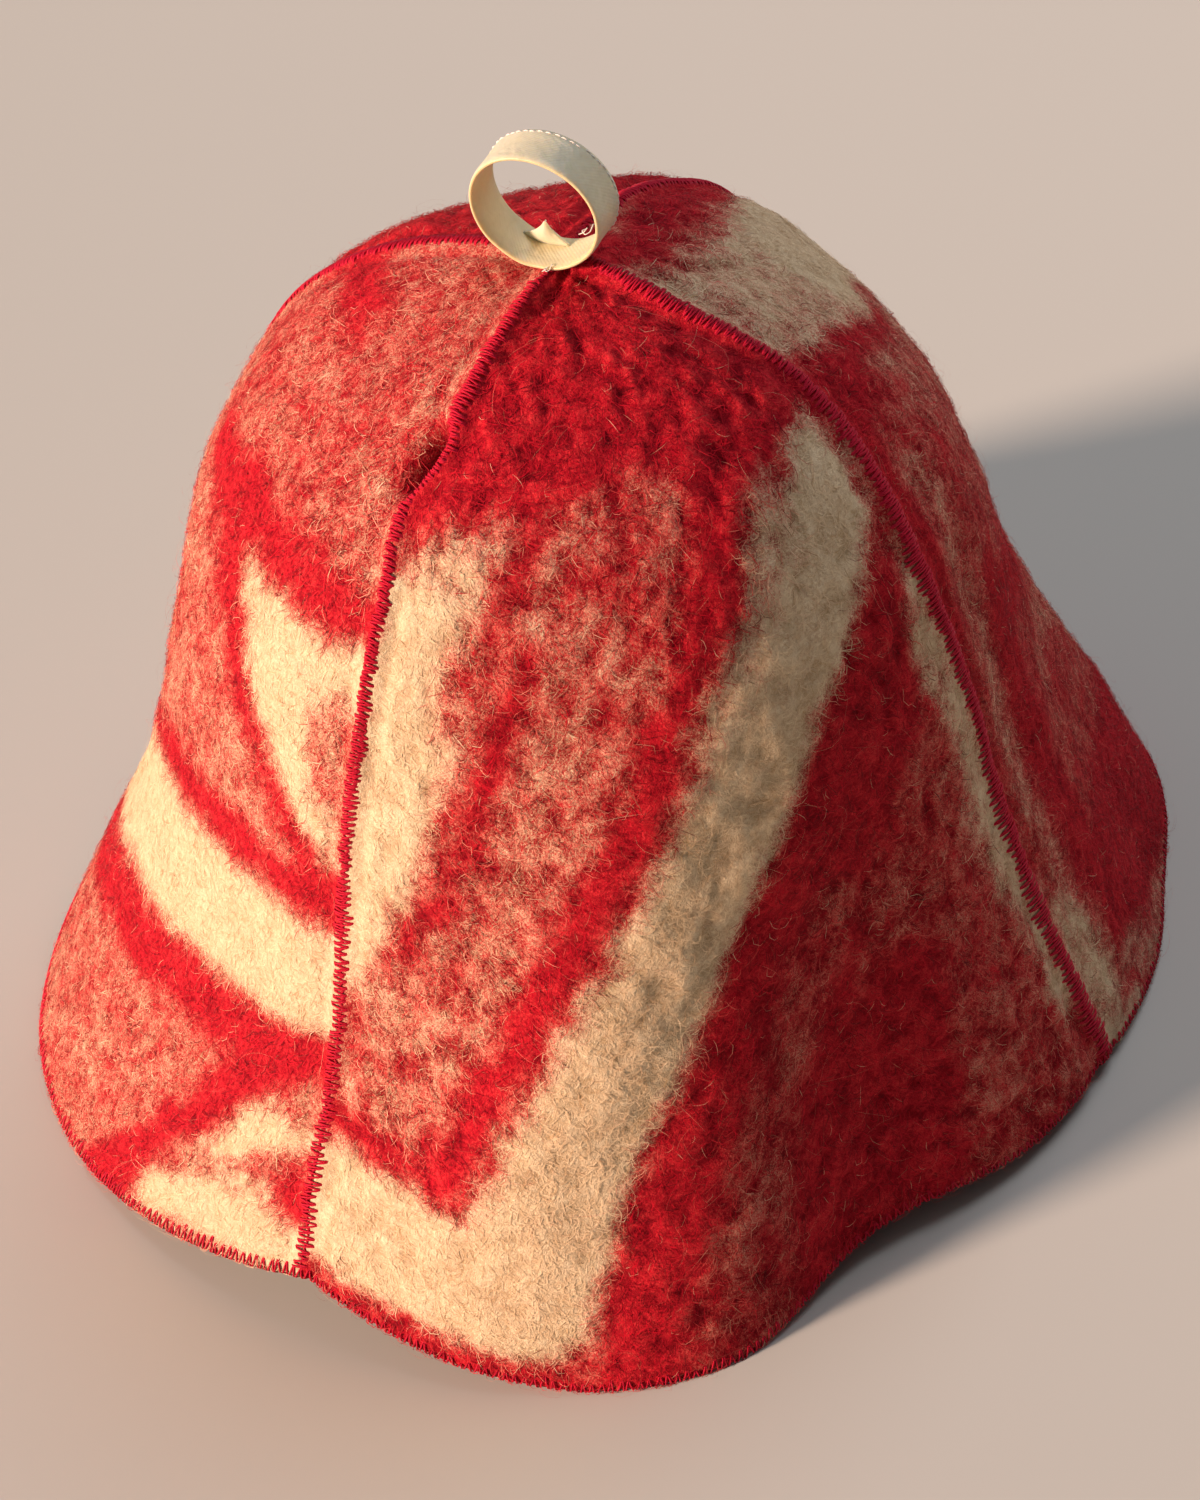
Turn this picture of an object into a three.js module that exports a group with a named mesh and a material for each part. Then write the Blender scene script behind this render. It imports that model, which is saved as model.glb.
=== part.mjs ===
import * as THREE from "three";

// A sauna hat: a soft bell sewn from four gores of thick blanket wool, with a ribbon loop on its point.
// Millimetres, +Z up. The hem rests on Z = 0, the front gore faces -Y and the right gore faces +X.
// Azimuths are degrees round the bell, 0 at the front (-Y) and positive towards the right (+X).
// "up" runs from 0 at the hem to 1 at the crown's point, along a line from one to the other.

const woolThickness = 3;
const seamGap = 0.4; // between two gores that meet at a seam
const tipUp = 0.988; // where the four gores stop short of the crown's point
const gapAtLoop = 0.3; // between the gores' tips and the loop that stands on them

const goreCount = 4;
const goreColumns = 12; // faces across a gore
const goreRows = 28; // faces from hem to point

const loopWidth = 30.5; // outside, across
const loopHeight = 29; // outside, it sags a little under its own weight
const ribbonWidth = 11;
const ribbonThickness = 1.2; // bias tape folded double
const loopTurn = 39; // degrees from +Y towards +X that the loop's opening looks along
const loopSide = -3; // how far the loop stands to the left of the crown's point
const loopSegments = 48;

// The bell's levels. along: share of the profile. radius and height: of the profile there.
// petal: how far each gore's middle stands out beyond the mean radius, and each seam behind it.
// leanX, leanY: where the level's middle lies, because the crown leans forward and to the right.
const sections = [
  { along: 0.0, radius: 143.3, height: 0.0, petal: 1.1, leanX: -13.1, leanY: 28.6 },
  { along: 0.12, radius: 130.6, height: 33.0, petal: 1.2, leanX: -9.8, leanY: 24.2 },
  { along: 0.25, radius: 116.5, height: 66.8, petal: 1.1, leanX: -7.2, leanY: 19.6 },
  { along: 0.38, radius: 104.5, height: 102.0, petal: 0.2, leanX: -6.0, leanY: 15.8 },
  { along: 0.5, radius: 96.3, height: 137.1, petal: -0.7, leanX: -5.2, leanY: 12.2 },
  { along: 0.62, radius: 85.7, height: 170.2, petal: -1.6, leanX: -4.6, leanY: 8.7 },
  { along: 0.73, radius: 68.2, height: 197.3, petal: -2.4, leanX: -4.1, leanY: 6.0 },
  { along: 0.83, radius: 46.0, height: 215.3, petal: -2.7, leanX: -3.5, leanY: 3.7 },
  { along: 0.92, radius: 22.8, height: 227.6, petal: -1.6, leanX: -1.9, leanY: 1.5 },
  { along: 1.0, radius: 0.0, height: 232.5, petal: 0.0, leanX: 0.0, leanY: 0.0 },
];

// The hem, at each seam and each gore's middle. rise: height of the edge, before it settles on the
// floor. reach: extra flare.
const hem = [
  { azimuth: -135, rise: 23.6, reach: -1.7 },
  { azimuth: -90, rise: 0.0, reach: 5.5 },
  { azimuth: -45, rise: 16.2, reach: 3.8 },
  { azimuth: 0, rise: -2.6, reach: 8.6 },
  { azimuth: 45, rise: 5.2, reach: -0.2 },
  { azimuth: 90, rise: 0.0, reach: 8.3 },
  { azimuth: 135, rise: 25.6, reach: 1.6 },
  { azimuth: 180, rise: 0.0, reach: 4.1 },
];
const hemStep = 45; // degrees between two rows of the hem
const petalCurve = 1.6; // 1 is a straight edge from a gore's middle to its seam
const flareUp = 0.5; // the flare fades out here
const flareCurve = 1.7;
const settle = 1.6; // wool this near the floor is pressed flat on it
const halvings = 30; // of the profile, to find where it reaches a height

// Folds, dents and one swelling. azimuth, up: the middle. halfWidth (degrees), halfUp: its size.
// depth: how far it goes in, or out where it is negative. lift: how far it raises the hem.
const folds = [
  { azimuth: 15.6, up: 0.0, halfWidth: 17.3, halfUp: 0.32, depth: 12.0, lift: 11.0 },
  { azimuth: -53, up: 0.785, halfWidth: 8.0, halfUp: 0.055, depth: 3.5, lift: 0 },
  { azimuth: 56, up: 0.5, halfWidth: 5.0, halfUp: 0.24, depth: 2.6, lift: 0 },
  { azimuth: 74, up: 0.1, halfWidth: 10.0, halfUp: 0.3, depth: 4.0, lift: 0 },
  { azimuth: -72, up: 0.28, halfWidth: 14.0, halfUp: 0.2, depth: 2.5, lift: 0 },
  { azimuth: -125, up: 0.84, halfWidth: 48.0, halfUp: 0.11, depth: -3.5, lift: 0 },
  { azimuth: 158, up: 0.0, halfWidth: 12.0, halfUp: 0.28, depth: 6.0, lift: 3.0 },
];

// How far each seam wanders from its straight line, in degrees, as hand-guided seams do.
const seams = [
  { up: 0.0, backLeft: 0.5, frontLeft: -0.9, frontRight: 2.8, backRight: -0.5 },
  { up: 0.2, backLeft: -0.6, frontLeft: -2.1, frontRight: 1.2, backRight: 0.6 },
  { up: 0.42, backLeft: -0.8, frontLeft: -2.3, frontRight: 1.2, backRight: 1.0 },
  { up: 0.6, backLeft: 0.4, frontLeft: 0.2, frontRight: -0.4, backRight: 0.0 },
  { up: 0.7, backLeft: 0.8, frontLeft: 0.5, frontRight: 1.4, backRight: -0.8 },
  { up: 0.77, backLeft: 0.6, frontLeft: -1.0, frontRight: 4.0, backRight: -0.9 },
  { up: 0.81, backLeft: 0.2, frontLeft: 3.0, frontRight: 4.6, backRight: -0.4 },
  { up: 0.86, backLeft: -0.4, frontLeft: 1.4, frontRight: 2.2, backRight: 0.2 },
  { up: 0.92, backLeft: -0.3, frontLeft: 1.6, frontRight: -1.0, backRight: 0.4 },
  { up: 1.0, backLeft: 0.0, frontLeft: 0.0, frontRight: 0.0, backRight: 0.0 },
];
const seamAzimuths = { backLeft: -135, frontLeft: -45, frontRight: 45, backRight: 135 };

const goreSeams = [
  { name: "gore_front", left: "frontLeft", right: "frontRight", turn: 0 },
  { name: "gore_right", left: "frontRight", right: "backRight", turn: 0 },
  { name: "gore_back", left: "backRight", right: "backLeft", turn: 360 },
  { name: "gore_left", left: "backLeft", right: "frontLeft", turn: 0 },
];

const brushedWool = { color: "#b92b3c", roughness: 0.95, metalness: 0 };
const satinTape = { color: "#e9e1cb", roughness: 0.45, metalness: 0 };

// A smooth curve through a table's rows: the value of one column where another column is x.
function valueAt(rows, key, column, x) {
  const last = rows.length - 1;
  const at = THREE.MathUtils.clamp(x, rows[0][key], rows[last][key]);
  let i = 0;
  while (i < last - 1 && at >= rows[i + 1][key]) i += 1;
  const slope = (k) => {
    const before = rows[Math.max(k - 1, 0)];
    const after = rows[Math.min(k + 1, last)];
    return (after[column] - before[column]) / (after[key] - before[key]);
  };
  const span = rows[i + 1][key] - rows[i][key];
  const u = (at - rows[i][key]) / span;
  const bend = u * u * (3 - 2 * u);
  const rising = u * (1 - u) * (1 - u) * slope(i);
  const falling = u * u * (1 - u) * slope(i + 1);
  return THREE.MathUtils.lerp(rows[i][column], rows[i + 1][column], bend) + span * (rising - falling);
}

// The two rows of the hem on each side of an azimuth, and how far it lies between them.
function hemSpan(azimuth) {
  const steps = THREE.MathUtils.euclideanModulo(azimuth - hem[0].azimuth, 360) / hemStep;
  const i = Math.floor(steps) % hem.length;
  return { before: hem[i], after: hem[(i + 1) % hem.length], share: steps - Math.floor(steps) };
}

// Degrees from one azimuth to another, the short way round.
function turnBetween(from, to) {
  return THREE.MathUtils.euclideanModulo(to - from + 180, 360) - 180;
}

// How much of a fold is felt at a place, from 0 to 1.
function foldShare(fold, azimuth, up) {
  const across = turnBetween(fold.azimuth, azimuth) / fold.halfWidth;
  const along = (up - fold.up) / fold.halfUp;
  return Math.exp(-across * across - along * along);
}

// Height of the hem's edge: each gore hangs as a petal, lowest at its middle.
function hemRise(azimuth) {
  const { before, after, share } = hemSpan(azimuth);
  const fromMiddle = before.rise < after.rise ? share : 1 - share;
  const low = Math.min(before.rise, after.rise);
  const high = Math.max(before.rise, after.rise);
  const petal = low + (high - low) * fromMiddle ** petalCurve;
  const lifted = folds.reduce((sum, fold) => sum + fold.lift * foldShare(fold, azimuth, fold.up), petal);
  return Math.max(lifted - settle, 0);
}

// The profile's share at which it reaches a height.
function alongAtHeight(height) {
  let low = 0;
  let high = 1;
  for (let halving = 0; halving < halvings; halving += 1) {
    const middle = (low + high) / 2;
    if (valueAt(sections, "along", "height", middle) < height) low = middle;
    else high = middle;
  }
  return (low + high) / 2;
}

// A point of the bell's outer face.
function outerPoint(azimuth, up) {
  const start = alongAtHeight(hemRise(azimuth));
  const along = start + (1 - start) * up;
  const level = (column) => valueAt(sections, "along", column, along);
  const { before, after, share } = hemSpan(azimuth);
  const flare = THREE.MathUtils.lerp(before.reach, after.reach, share * share * (3 - 2 * share));
  const fade = Math.max(1 - up / flareUp, 0) ** flareCurve;
  const angle = THREE.MathUtils.degToRad(azimuth);
  let radius = level("radius") + level("petal") * Math.cos(goreCount * angle) + flare * fade;
  for (const fold of folds) radius -= fold.depth * foldShare(fold, azimuth, up);
  const x = radius * Math.sin(angle) + level("leanX");
  const y = -radius * Math.cos(angle) + level("leanY");
  return new THREE.Vector3(x, y, level("height"));
}

// The outward direction at a place on the bell.
function outward(azimuth, up) {
  const turn = 0.5;
  const step = 0.004;
  const above = Math.min(up + step, 1);
  const below = Math.max(up - step, 0);
  const along = outerPoint(azimuth, above).sub(outerPoint(azimuth, below));
  const across = outerPoint(azimuth + turn, up).sub(outerPoint(azimuth - turn, up));
  return across.cross(along).normalize();
}

// The inner face lies one wool's thickness behind the outer one. At the hem the wool is cut level,
// so that the edge stands square on the floor.
function innerPoint(azimuth, up) {
  const inward = outward(azimuth, up).multiplyScalar(-woolThickness);
  const levelled = Math.max(1 - up * goreRows, 0);
  inward.z *= 1 - levelled;
  return outerPoint(azimuth, up).add(inward);
}

// The azimuth of a gore's edge, half a seam's gap short of the seam.
function edgeAzimuth(seam, up, side) {
  const middle = seamAzimuths[seam] + valueAt(seams, "up", seam, up);
  const point = outerPoint(middle, up);
  const axis = outerPoint(middle + 180, up);
  const radius = Math.hypot(point.x - axis.x, point.y - axis.y) / 2;
  return middle + side * THREE.MathUtils.radToDeg(seamGap / 2 / radius);
}

// Two grids of points, outer and inner, joined round their edges into one closed wall.
function goreWall({ left, right, turn }) {
  const positions = [];
  for (const face of [outerPoint, innerPoint]) {
    for (let row = 0; row <= goreRows; row += 1) {
      const up = (row / goreRows) * tipUp;
      const from = edgeAzimuth(left, up, 1);
      const to = edgeAzimuth(right, up, -1) + turn;
      for (let column = 0; column <= goreColumns; column += 1) {
        const azimuth = THREE.MathUtils.lerp(from, to, column / goreColumns);
        positions.push(...face(azimuth, up).toArray());
      }
    }
  }
  const rowLength = goreColumns + 1;
  const layer = rowLength * (goreRows + 1);
  const at = (face, row, column) => face * layer + row * rowLength + column;
  const triangles = [];
  const quad = (a, b, c, d) => triangles.push(a, b, c, a, c, d);
  const lastRow = goreRows;
  const lastColumn = goreColumns;
  for (let row = 0; row < lastRow; row += 1) {
    const above = row + 1;
    for (let column = 0; column < lastColumn; column += 1) {
      const next = column + 1;
      quad(at(0, row, column), at(0, row, next), at(0, above, next), at(0, above, column));
      quad(at(1, above, column), at(1, above, next), at(1, row, next), at(1, row, column));
    }
    quad(at(0, row, 0), at(0, above, 0), at(1, above, 0), at(1, row, 0));
    quad(at(1, row, lastColumn), at(1, above, lastColumn), at(0, above, lastColumn), at(0, row, lastColumn));
  }
  for (let column = 0; column < lastColumn; column += 1) {
    const next = column + 1;
    quad(at(1, 0, column), at(1, 0, next), at(0, 0, next), at(0, 0, column));
    quad(at(0, lastRow, column), at(0, lastRow, next), at(1, lastRow, next), at(1, lastRow, column));
  }
  const geometry = new THREE.BufferGeometry();
  geometry.setAttribute("position", new THREE.Float32BufferAttribute(positions, 3));
  geometry.setIndex(triangles);
  return geometry;
}

// The loop is a closed ring of ribbon, a little wider than it is tall.
function ribbonRing() {
  const outline = new THREE.Shape();
  outline.absellipse(0, loopHeight / 2, loopWidth / 2, loopHeight / 2, 0, Math.PI * 2);
  const opening = new THREE.Path();
  const insideWidth = loopWidth / 2 - ribbonThickness;
  const insideHeight = loopHeight / 2 - ribbonThickness;
  opening.absellipse(0, loopHeight / 2, insideWidth, insideHeight, 0, Math.PI * 2, true);
  outline.holes.push(opening);
  const settings = { depth: ribbonWidth, bevelEnabled: false, curveSegments: loopSegments };
  const geometry = new THREE.ExtrudeGeometry(outline, settings);
  geometry.translate(0, 0, -ribbonWidth / 2);
  geometry.rotateX(Math.PI / 2);
  geometry.rotateZ(-THREE.MathUtils.degToRad(loopTurn));
  return geometry;
}

const hat = new THREE.Group();
for (const gore of goreSeams) {
  const wall = new THREE.Mesh(goreWall(gore), new THREE.MeshStandardMaterial(brushedWool));
  wall.name = gore.name;
  hat.add(wall);
}

const point = outerPoint(0, 1);
const tips = outerPoint(0, tipUp);
const loop = new THREE.Mesh(ribbonRing(), new THREE.MeshStandardMaterial(satinTape));
loop.name = "hanging_loop";
loop.position.set(point.x + loopSide, point.y, tips.z + gapAtLoop);
hat.add(loop);

// The origin is the middle of the hat's own box, on the plane that the hem rests on.
hat.updateMatrixWorld(true);
const middle = new THREE.Box3().setFromObject(hat).getCenter(new THREE.Vector3());
hat.position.set(-middle.x, -middle.y, 0);

export default hat;
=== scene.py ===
import bmesh
import bpy
import math
import numpy as np
from mathutils import Matrix, Vector


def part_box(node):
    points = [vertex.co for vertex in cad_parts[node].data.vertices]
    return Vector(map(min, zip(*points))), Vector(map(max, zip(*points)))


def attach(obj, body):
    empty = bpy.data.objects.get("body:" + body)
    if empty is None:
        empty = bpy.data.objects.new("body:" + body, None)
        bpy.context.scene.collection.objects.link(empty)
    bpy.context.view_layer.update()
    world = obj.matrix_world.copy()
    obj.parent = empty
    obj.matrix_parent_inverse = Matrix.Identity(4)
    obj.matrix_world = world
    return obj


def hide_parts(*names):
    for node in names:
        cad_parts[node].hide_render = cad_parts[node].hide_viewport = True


# A sauna hat: four gores of thick brushed wool blanket, sewn edge to edge with zigzag stitching,
# and a satin tape loop on the crown's point. Sizes are millimetres until a mesh is made.

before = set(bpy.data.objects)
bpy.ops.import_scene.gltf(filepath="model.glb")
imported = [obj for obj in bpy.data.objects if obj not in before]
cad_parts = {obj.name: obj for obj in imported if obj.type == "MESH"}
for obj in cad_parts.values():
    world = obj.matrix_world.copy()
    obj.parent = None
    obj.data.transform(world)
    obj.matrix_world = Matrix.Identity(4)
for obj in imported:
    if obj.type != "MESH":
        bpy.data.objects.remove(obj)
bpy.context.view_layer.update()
mm = 0.001
print("frame loaded")

# The same bell as the frame's. up runs from 0 at the hem to 1 at the crown's point, and azimuth
# is degrees round the bell, 0 at the front and positive towards the right.

levelColumns = ("along", "radius", "height", "petal", "leanX", "leanY")
levels = [
    (0.00, 143.3, 0.0, 1.1, -13.1, 28.6),
    (0.12, 130.6, 33.0, 1.2, -9.8, 24.2),
    (0.25, 116.5, 66.8, 1.1, -7.2, 19.6),
    (0.38, 104.5, 102.0, 0.2, -6.0, 15.8),
    (0.50, 96.3, 137.1, -0.7, -5.2, 12.2),
    (0.62, 85.7, 170.2, -1.6, -4.6, 8.7),
    (0.73, 68.2, 197.3, -2.4, -4.1, 6.0),
    (0.83, 46.0, 215.3, -2.7, -3.5, 3.7),
    (0.92, 22.8, 227.6, -1.6, -1.9, 1.5),
    (1.00, 0.0, 232.5, 0.0, 0.0, 0.0),
]
hemColumns = ("azimuth", "rise", "reach")
hemRows = [
    (-135, 23.6, -1.7),
    (-90, 0.0, 5.5),
    (-45, 16.2, 3.8),
    (0, -2.6, 8.6),
    (45, 5.2, -0.2),
    (90, 0.0, 8.3),
    (135, 25.6, 1.6),
    (180, 0.0, 4.1),
]
foldColumns = ("azimuth", "up", "halfWidth", "halfUp", "depth", "lift")
folds = [
    (15.6, 0.0, 17.3, 0.32, 12.0, 11.0),
    (-53, 0.785, 8.0, 0.055, 3.5, 0.0),
    (56, 0.5, 5.0, 0.24, 2.6, 0.0),
    (74, 0.1, 10.0, 0.3, 4.0, 0.0),
    (-72, 0.28, 14.0, 0.2, 2.5, 0.0),
    (-125, 0.84, 48.0, 0.11, -3.5, 0.0),
    (158, 0.0, 12.0, 0.28, 6.0, 3.0),
]
seamColumns = ("up", "backLeft", "frontLeft", "frontRight", "backRight")
seamRows = [
    (0.00, 0.5, -0.9, 2.8, -0.5),
    (0.20, -0.6, -2.1, 1.2, 0.6),
    (0.42, -0.8, -2.3, 1.2, 1.0),
    (0.60, 0.4, 0.2, -0.4, 0.0),
    (0.70, 0.8, 0.5, 1.4, -0.8),
    (0.77, 0.6, -1.0, 4.0, -0.9),
    (0.81, 0.2, 3.0, 4.6, -0.4),
    (0.86, -0.4, 1.4, 2.2, 0.2),
    (0.92, -0.3, 1.6, -1.0, 0.4),
    (1.00, 0.0, 0.0, 0.0, 0.0),
]
seamAzimuths = {"backLeft": -135, "frontLeft": -45, "frontRight": 45, "backRight": 135}
gores = {
    "front": {"left": "frontLeft", "right": "frontRight", "middle": 0, "turn": 0},
    "right": {"left": "frontRight", "right": "backRight", "middle": 90, "turn": 0},
    "back": {"left": "backRight", "right": "backLeft", "middle": 180, "turn": 360},
    "left": {"left": "backLeft", "right": "frontLeft", "middle": -90, "turn": 0},
}
bell = {
    "goreCount": 4,
    "petalCurve": 1.6,
    "flareUp": 0.5,
    "flareCurve": 1.7,
    "settle": 1.6,
    "hemStep": 45,
    "woolThickness": 3.0,
    "loopSide": -3.0,  # the loop stands this far to the left of the crown's point
}

loopLow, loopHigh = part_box("hanging_loop")
pointX = (loopLow.x + loopHigh.x) / 2 / mm - bell["loopSide"]
pointY = (loopLow.y + loopHigh.y) / 2 / mm


def curveThrough(rows, columns, key, column, x):
    # a smooth curve through a table's rows, as the frame's bell has
    table = np.array(rows, float)
    xs = table[:, columns.index(key)]
    ys = table[:, columns.index(column)]
    before = np.maximum(np.arange(len(xs)) - 1, 0)
    after = np.minimum(np.arange(len(xs)) + 1, len(xs) - 1)
    slopes = (ys[after] - ys[before]) / (xs[after] - xs[before])
    x = np.clip(x, xs[0], xs[-1])
    i = np.clip(np.searchsorted(xs, x, side="right") - 1, 0, len(xs) - 2)
    span = xs[i + 1] - xs[i]
    u = (x - xs[i]) / span
    bend = u * u * (3 - 2 * u)
    rising = u * (1 - u) ** 2 * slopes[i]
    falling = u * u * (1 - u) * slopes[i + 1]
    return ys[i] * (1 - bend) + ys[i + 1] * bend + span * (rising - falling)


def levelAt(column, along):
    return curveThrough(levels, levelColumns, "along", column, along)


def seamAt(name, up):
    return seamAzimuths[name] + curveThrough(seamRows, seamColumns, "up", name, up)


def foldShare(fold, azimuth, up):
    across = ((azimuth - fold["azimuth"] + 180) % 360 - 180) / fold["halfWidth"]
    along = (up - fold["up"]) / fold["halfUp"]
    return np.exp(-(across**2) - along**2)


foldList = [dict(zip(foldColumns, row)) for row in folds]
hemTable = {name: np.array(hemRows, float)[:, i] for i, name in enumerate(hemColumns)}


def hemSpan(azimuth):
    steps = ((azimuth - hemTable["azimuth"][0]) % 360) / bell["hemStep"]
    i = np.floor(steps).astype(int) % len(hemRows)
    return i, (i + 1) % len(hemRows), steps - np.floor(steps)


def hemRise(azimuth):
    before, after, share = hemSpan(azimuth)
    first = hemTable["rise"][before]
    second = hemTable["rise"][after]
    fromMiddle = np.where(first < second, share, 1 - share)
    low = np.minimum(first, second)
    high = np.maximum(first, second)
    rise = low + (high - low) * fromMiddle ** bell["petalCurve"]
    for fold in foldList:
        rise = rise + fold["lift"] * foldShare(fold, azimuth, fold["up"])
    return np.maximum(rise - bell["settle"], 0)


profileAlong = np.linspace(0, 1, 2001)
profileHeight = levelAt("height", profileAlong)


def bellPoint(azimuth, up):
    # points of the bell's outer face, in the frame's own place
    start = np.interp(hemRise(azimuth), profileHeight, profileAlong)
    along = start + (1 - start) * up
    before, after, share = hemSpan(azimuth)
    bend = share * share * (3 - 2 * share)
    flare = hemTable["reach"][before] * (1 - bend) + hemTable["reach"][after] * bend
    angle = np.radians(azimuth)
    radius = levelAt("radius", along)
    radius = radius + levelAt("petal", along) * np.cos(bell["goreCount"] * angle)
    radius = radius + flare * np.maximum(1 - up / bell["flareUp"], 0) ** bell["flareCurve"]
    for fold in foldList:
        radius = radius - fold["depth"] * foldShare(fold, azimuth, up)
    x = radius * np.sin(angle) + levelAt("leanX", along) + pointX
    y = -radius * np.cos(angle) + levelAt("leanY", along) + pointY
    return np.stack([x, y, levelAt("height", along)], axis=-1)


# Noise for wool.
def makeNoise(seed):
    # smooth value noise in space, -1 to 1
    cells = 64
    values = np.random.default_rng(seed).random((cells, cells, cells)) * 2 - 1

    def noise(points, size):
        scaled = points / size
        base = np.floor(scaled).astype(int)
        part = scaled - base
        part = part * part * (3 - 2 * part)
        total = 0
        for corner in np.ndindex(2, 2, 2):
            weight = 1
            for axis in range(3):
                weight = weight * (part[..., axis] if corner[axis] else 1 - part[..., axis])
            at = [(base[..., axis] + corner[axis]) % cells for axis in range(3)]
            total = total + weight * values[at[0], at[1], at[2]]
        return total

    return noise


lumpNoise = makeNoise(11)
blotchNoise = makeNoise(23)
grainNoise = makeNoise(37)

# The bell worked out once on a fine lattice, from which every piece takes its places.
lattice = {"from": -147.0, "to": 237.0, "step": 0.5, "rows": 361}
latticeAzimuths = np.arange(lattice["from"], lattice["to"] + 0.01, lattice["step"])
latticeUps = np.linspace(0, 1, lattice["rows"])
azimuthGrid, upGrid = np.meshgrid(latticeAzimuths, latticeUps, indexing="ij")
surface = bellPoint(azimuthGrid, upGrid)
alongAzimuth = np.gradient(surface, latticeAzimuths, axis=0)
alongUp = np.gradient(surface, latticeUps, axis=1)
normals = np.cross(alongAzimuth, alongUp)
normals[:, -1] = (0, 0, 1)
normals /= np.maximum(np.linalg.norm(normals, axis=-1, keepdims=True), 1e-9)
perDegree = np.maximum(np.linalg.norm(alongAzimuth, axis=-1), 0.05)
perUp = np.linalg.norm(alongUp, axis=-1)
girth = np.concatenate([np.zeros((1, lattice["rows"])),
                        np.cumsum((perDegree[1:] + perDegree[:-1]) / 2 * lattice["step"], axis=0)])


def sample(values, azimuth, up):
    # a lattice's value between its points
    a = np.clip((azimuth - lattice["from"]) / lattice["step"], 0, len(latticeAzimuths) - 1.001)
    b = np.clip(up * (lattice["rows"] - 1), 0, lattice["rows"] - 1.001)
    i = a.astype(int)
    j = b.astype(int)
    u = a - i
    v = b - j
    if values.ndim > 2:
        u = u[..., None]
        v = v[..., None]
    low = values[i, j] * (1 - u) + values[i + 1, j] * u
    high = values[i, j + 1] * (1 - u) + values[i + 1, j + 1] * u
    return low * (1 - v) + high * v


seamWidths = {"backLeft": 1.0, "frontLeft": 1.0, "frontRight": 1.35, "backRight": 1.0}
seamRidges = {"backLeft": 0.3, "frontLeft": 0.8, "frontRight": 0.6, "backRight": 0.6}


def seamDistance():
    # millimetres from each lattice point to the nearest seam, and how far that seam stands up
    nearest = np.full(azimuthGrid.shape, 999.0)
    ridge = np.zeros(azimuthGrid.shape)
    for name in seamAzimuths:
        for turn in (-360, 0, 360):
            off = np.abs((azimuthGrid - seamAt(name, upGrid) - turn) * perDegree)
            ridge = np.where(off < nearest, seamRidges[name], ridge)
            nearest = np.minimum(nearest, off)
    return nearest, ridge


fromSeam, seamRidge = seamDistance()

felt = {
    "lumpSize": 2.6,  # fulled wool gathers into clumps a little further apart than this
    "lumpHeight": 0.78,
    "fineSize": 1.4,
    "fineHeight": 0.25,
    "swellSize": 15.0,
    "swellHeight": 0.8,
    "stretch": 0.7,  # clumps are longer down the hat than across it
    "ridgeHigh": 1.3,  # the seam's ridge at the crown
    "ridgeLow": 0.35,  # and near the hem
    "ridgeWidth": 2.4,
    "grooveDepth": 0.6,
    "grooveAt": 4.6,
    "grooveWidth": 1.8,
    "seamCalm": 6.0,  # clumps flatten this near a seam
    "hemCalm": 8.0,  # and this near the hem
    "leastClump": 0.15,
    "goreLength": 290,
    "ridgeFrom": 0.3,  # up, where the seam's ridge starts to rise
    "ridgeOver": 0.4,
    "ridgeEnd": 0.05,  # and how far below the point it ends
}
clumping = {"front": 1.0, "right": 0.6, "back": 0.75, "left": 0.45}  # how far each gore has matted
creamCalm = 0.25  # undyed wool has matted less, by this share
creaseColumns = ("azimuth", "turn", "from", "to", "width", "depth")
bends = [
    (19, -57, 0.88, 0.02, 20.0, -4.2),  # a soft ridge, less than nothing deep
    (-10, -24, 0.45, -0.1, 22.0, -3.0),
    (20, -20, 0.66, 0.16, 20.0, -3.0),
    (14, -6, 0.46, -0.25, 26.0, 4.7),
]
creases = [
    (-44.4, -4.2, 0.84, 0.76, 2.2, 7.0),  # a pinch beside the seam
    (66, 30, 0.93, 0.80, 2.2, 1.5),
    (88, 16, 0.95, 0.84, 1.8, 1.2),
    (108, 10, 0.95, 0.87, 1.8, 0.9),
    (-20, -8, 0.96, 0.90, 1.5, 0.6),
]


def clumpShare():
    # how matted the wool is at each lattice point
    share = np.zeros_like(azimuthGrid)
    for name, gore in gores.items():
        for turn in (-360, 0, 360):
            left = seamAt(gore["left"], upGrid) + turn
            right = seamAt(gore["right"], upGrid) + gore["turn"] + turn
            share[(azimuthGrid >= left) & (azimuthGrid <= right)] = clumping[name]
    return share


def feltClumps():
    # clumps and pits, about -1 to 1
    stretched = surface * (1, 1, felt["stretch"])
    clumps = lumpNoise(stretched, felt["lumpSize"]) * felt["lumpHeight"]
    clumps = clumps + lumpNoise(stretched + 40, felt["fineSize"]) * felt["fineHeight"]
    return clumps * clumpShare() * nearSeam


def creaseDepth(rows):
    depth = np.zeros_like(azimuthGrid)
    for row in rows:
        crease = dict(zip(creaseColumns, row))
        share = np.clip((crease["from"] - upGrid) / (crease["from"] - crease["to"]), 0, 1)
        middle = crease["azimuth"] + crease["turn"] * share
        off = (azimuthGrid - middle) * perDegree / crease["width"]
        depth = depth + crease["depth"] * np.exp(-(off**2)) * np.sin(np.pi * share)
    return depth


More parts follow.
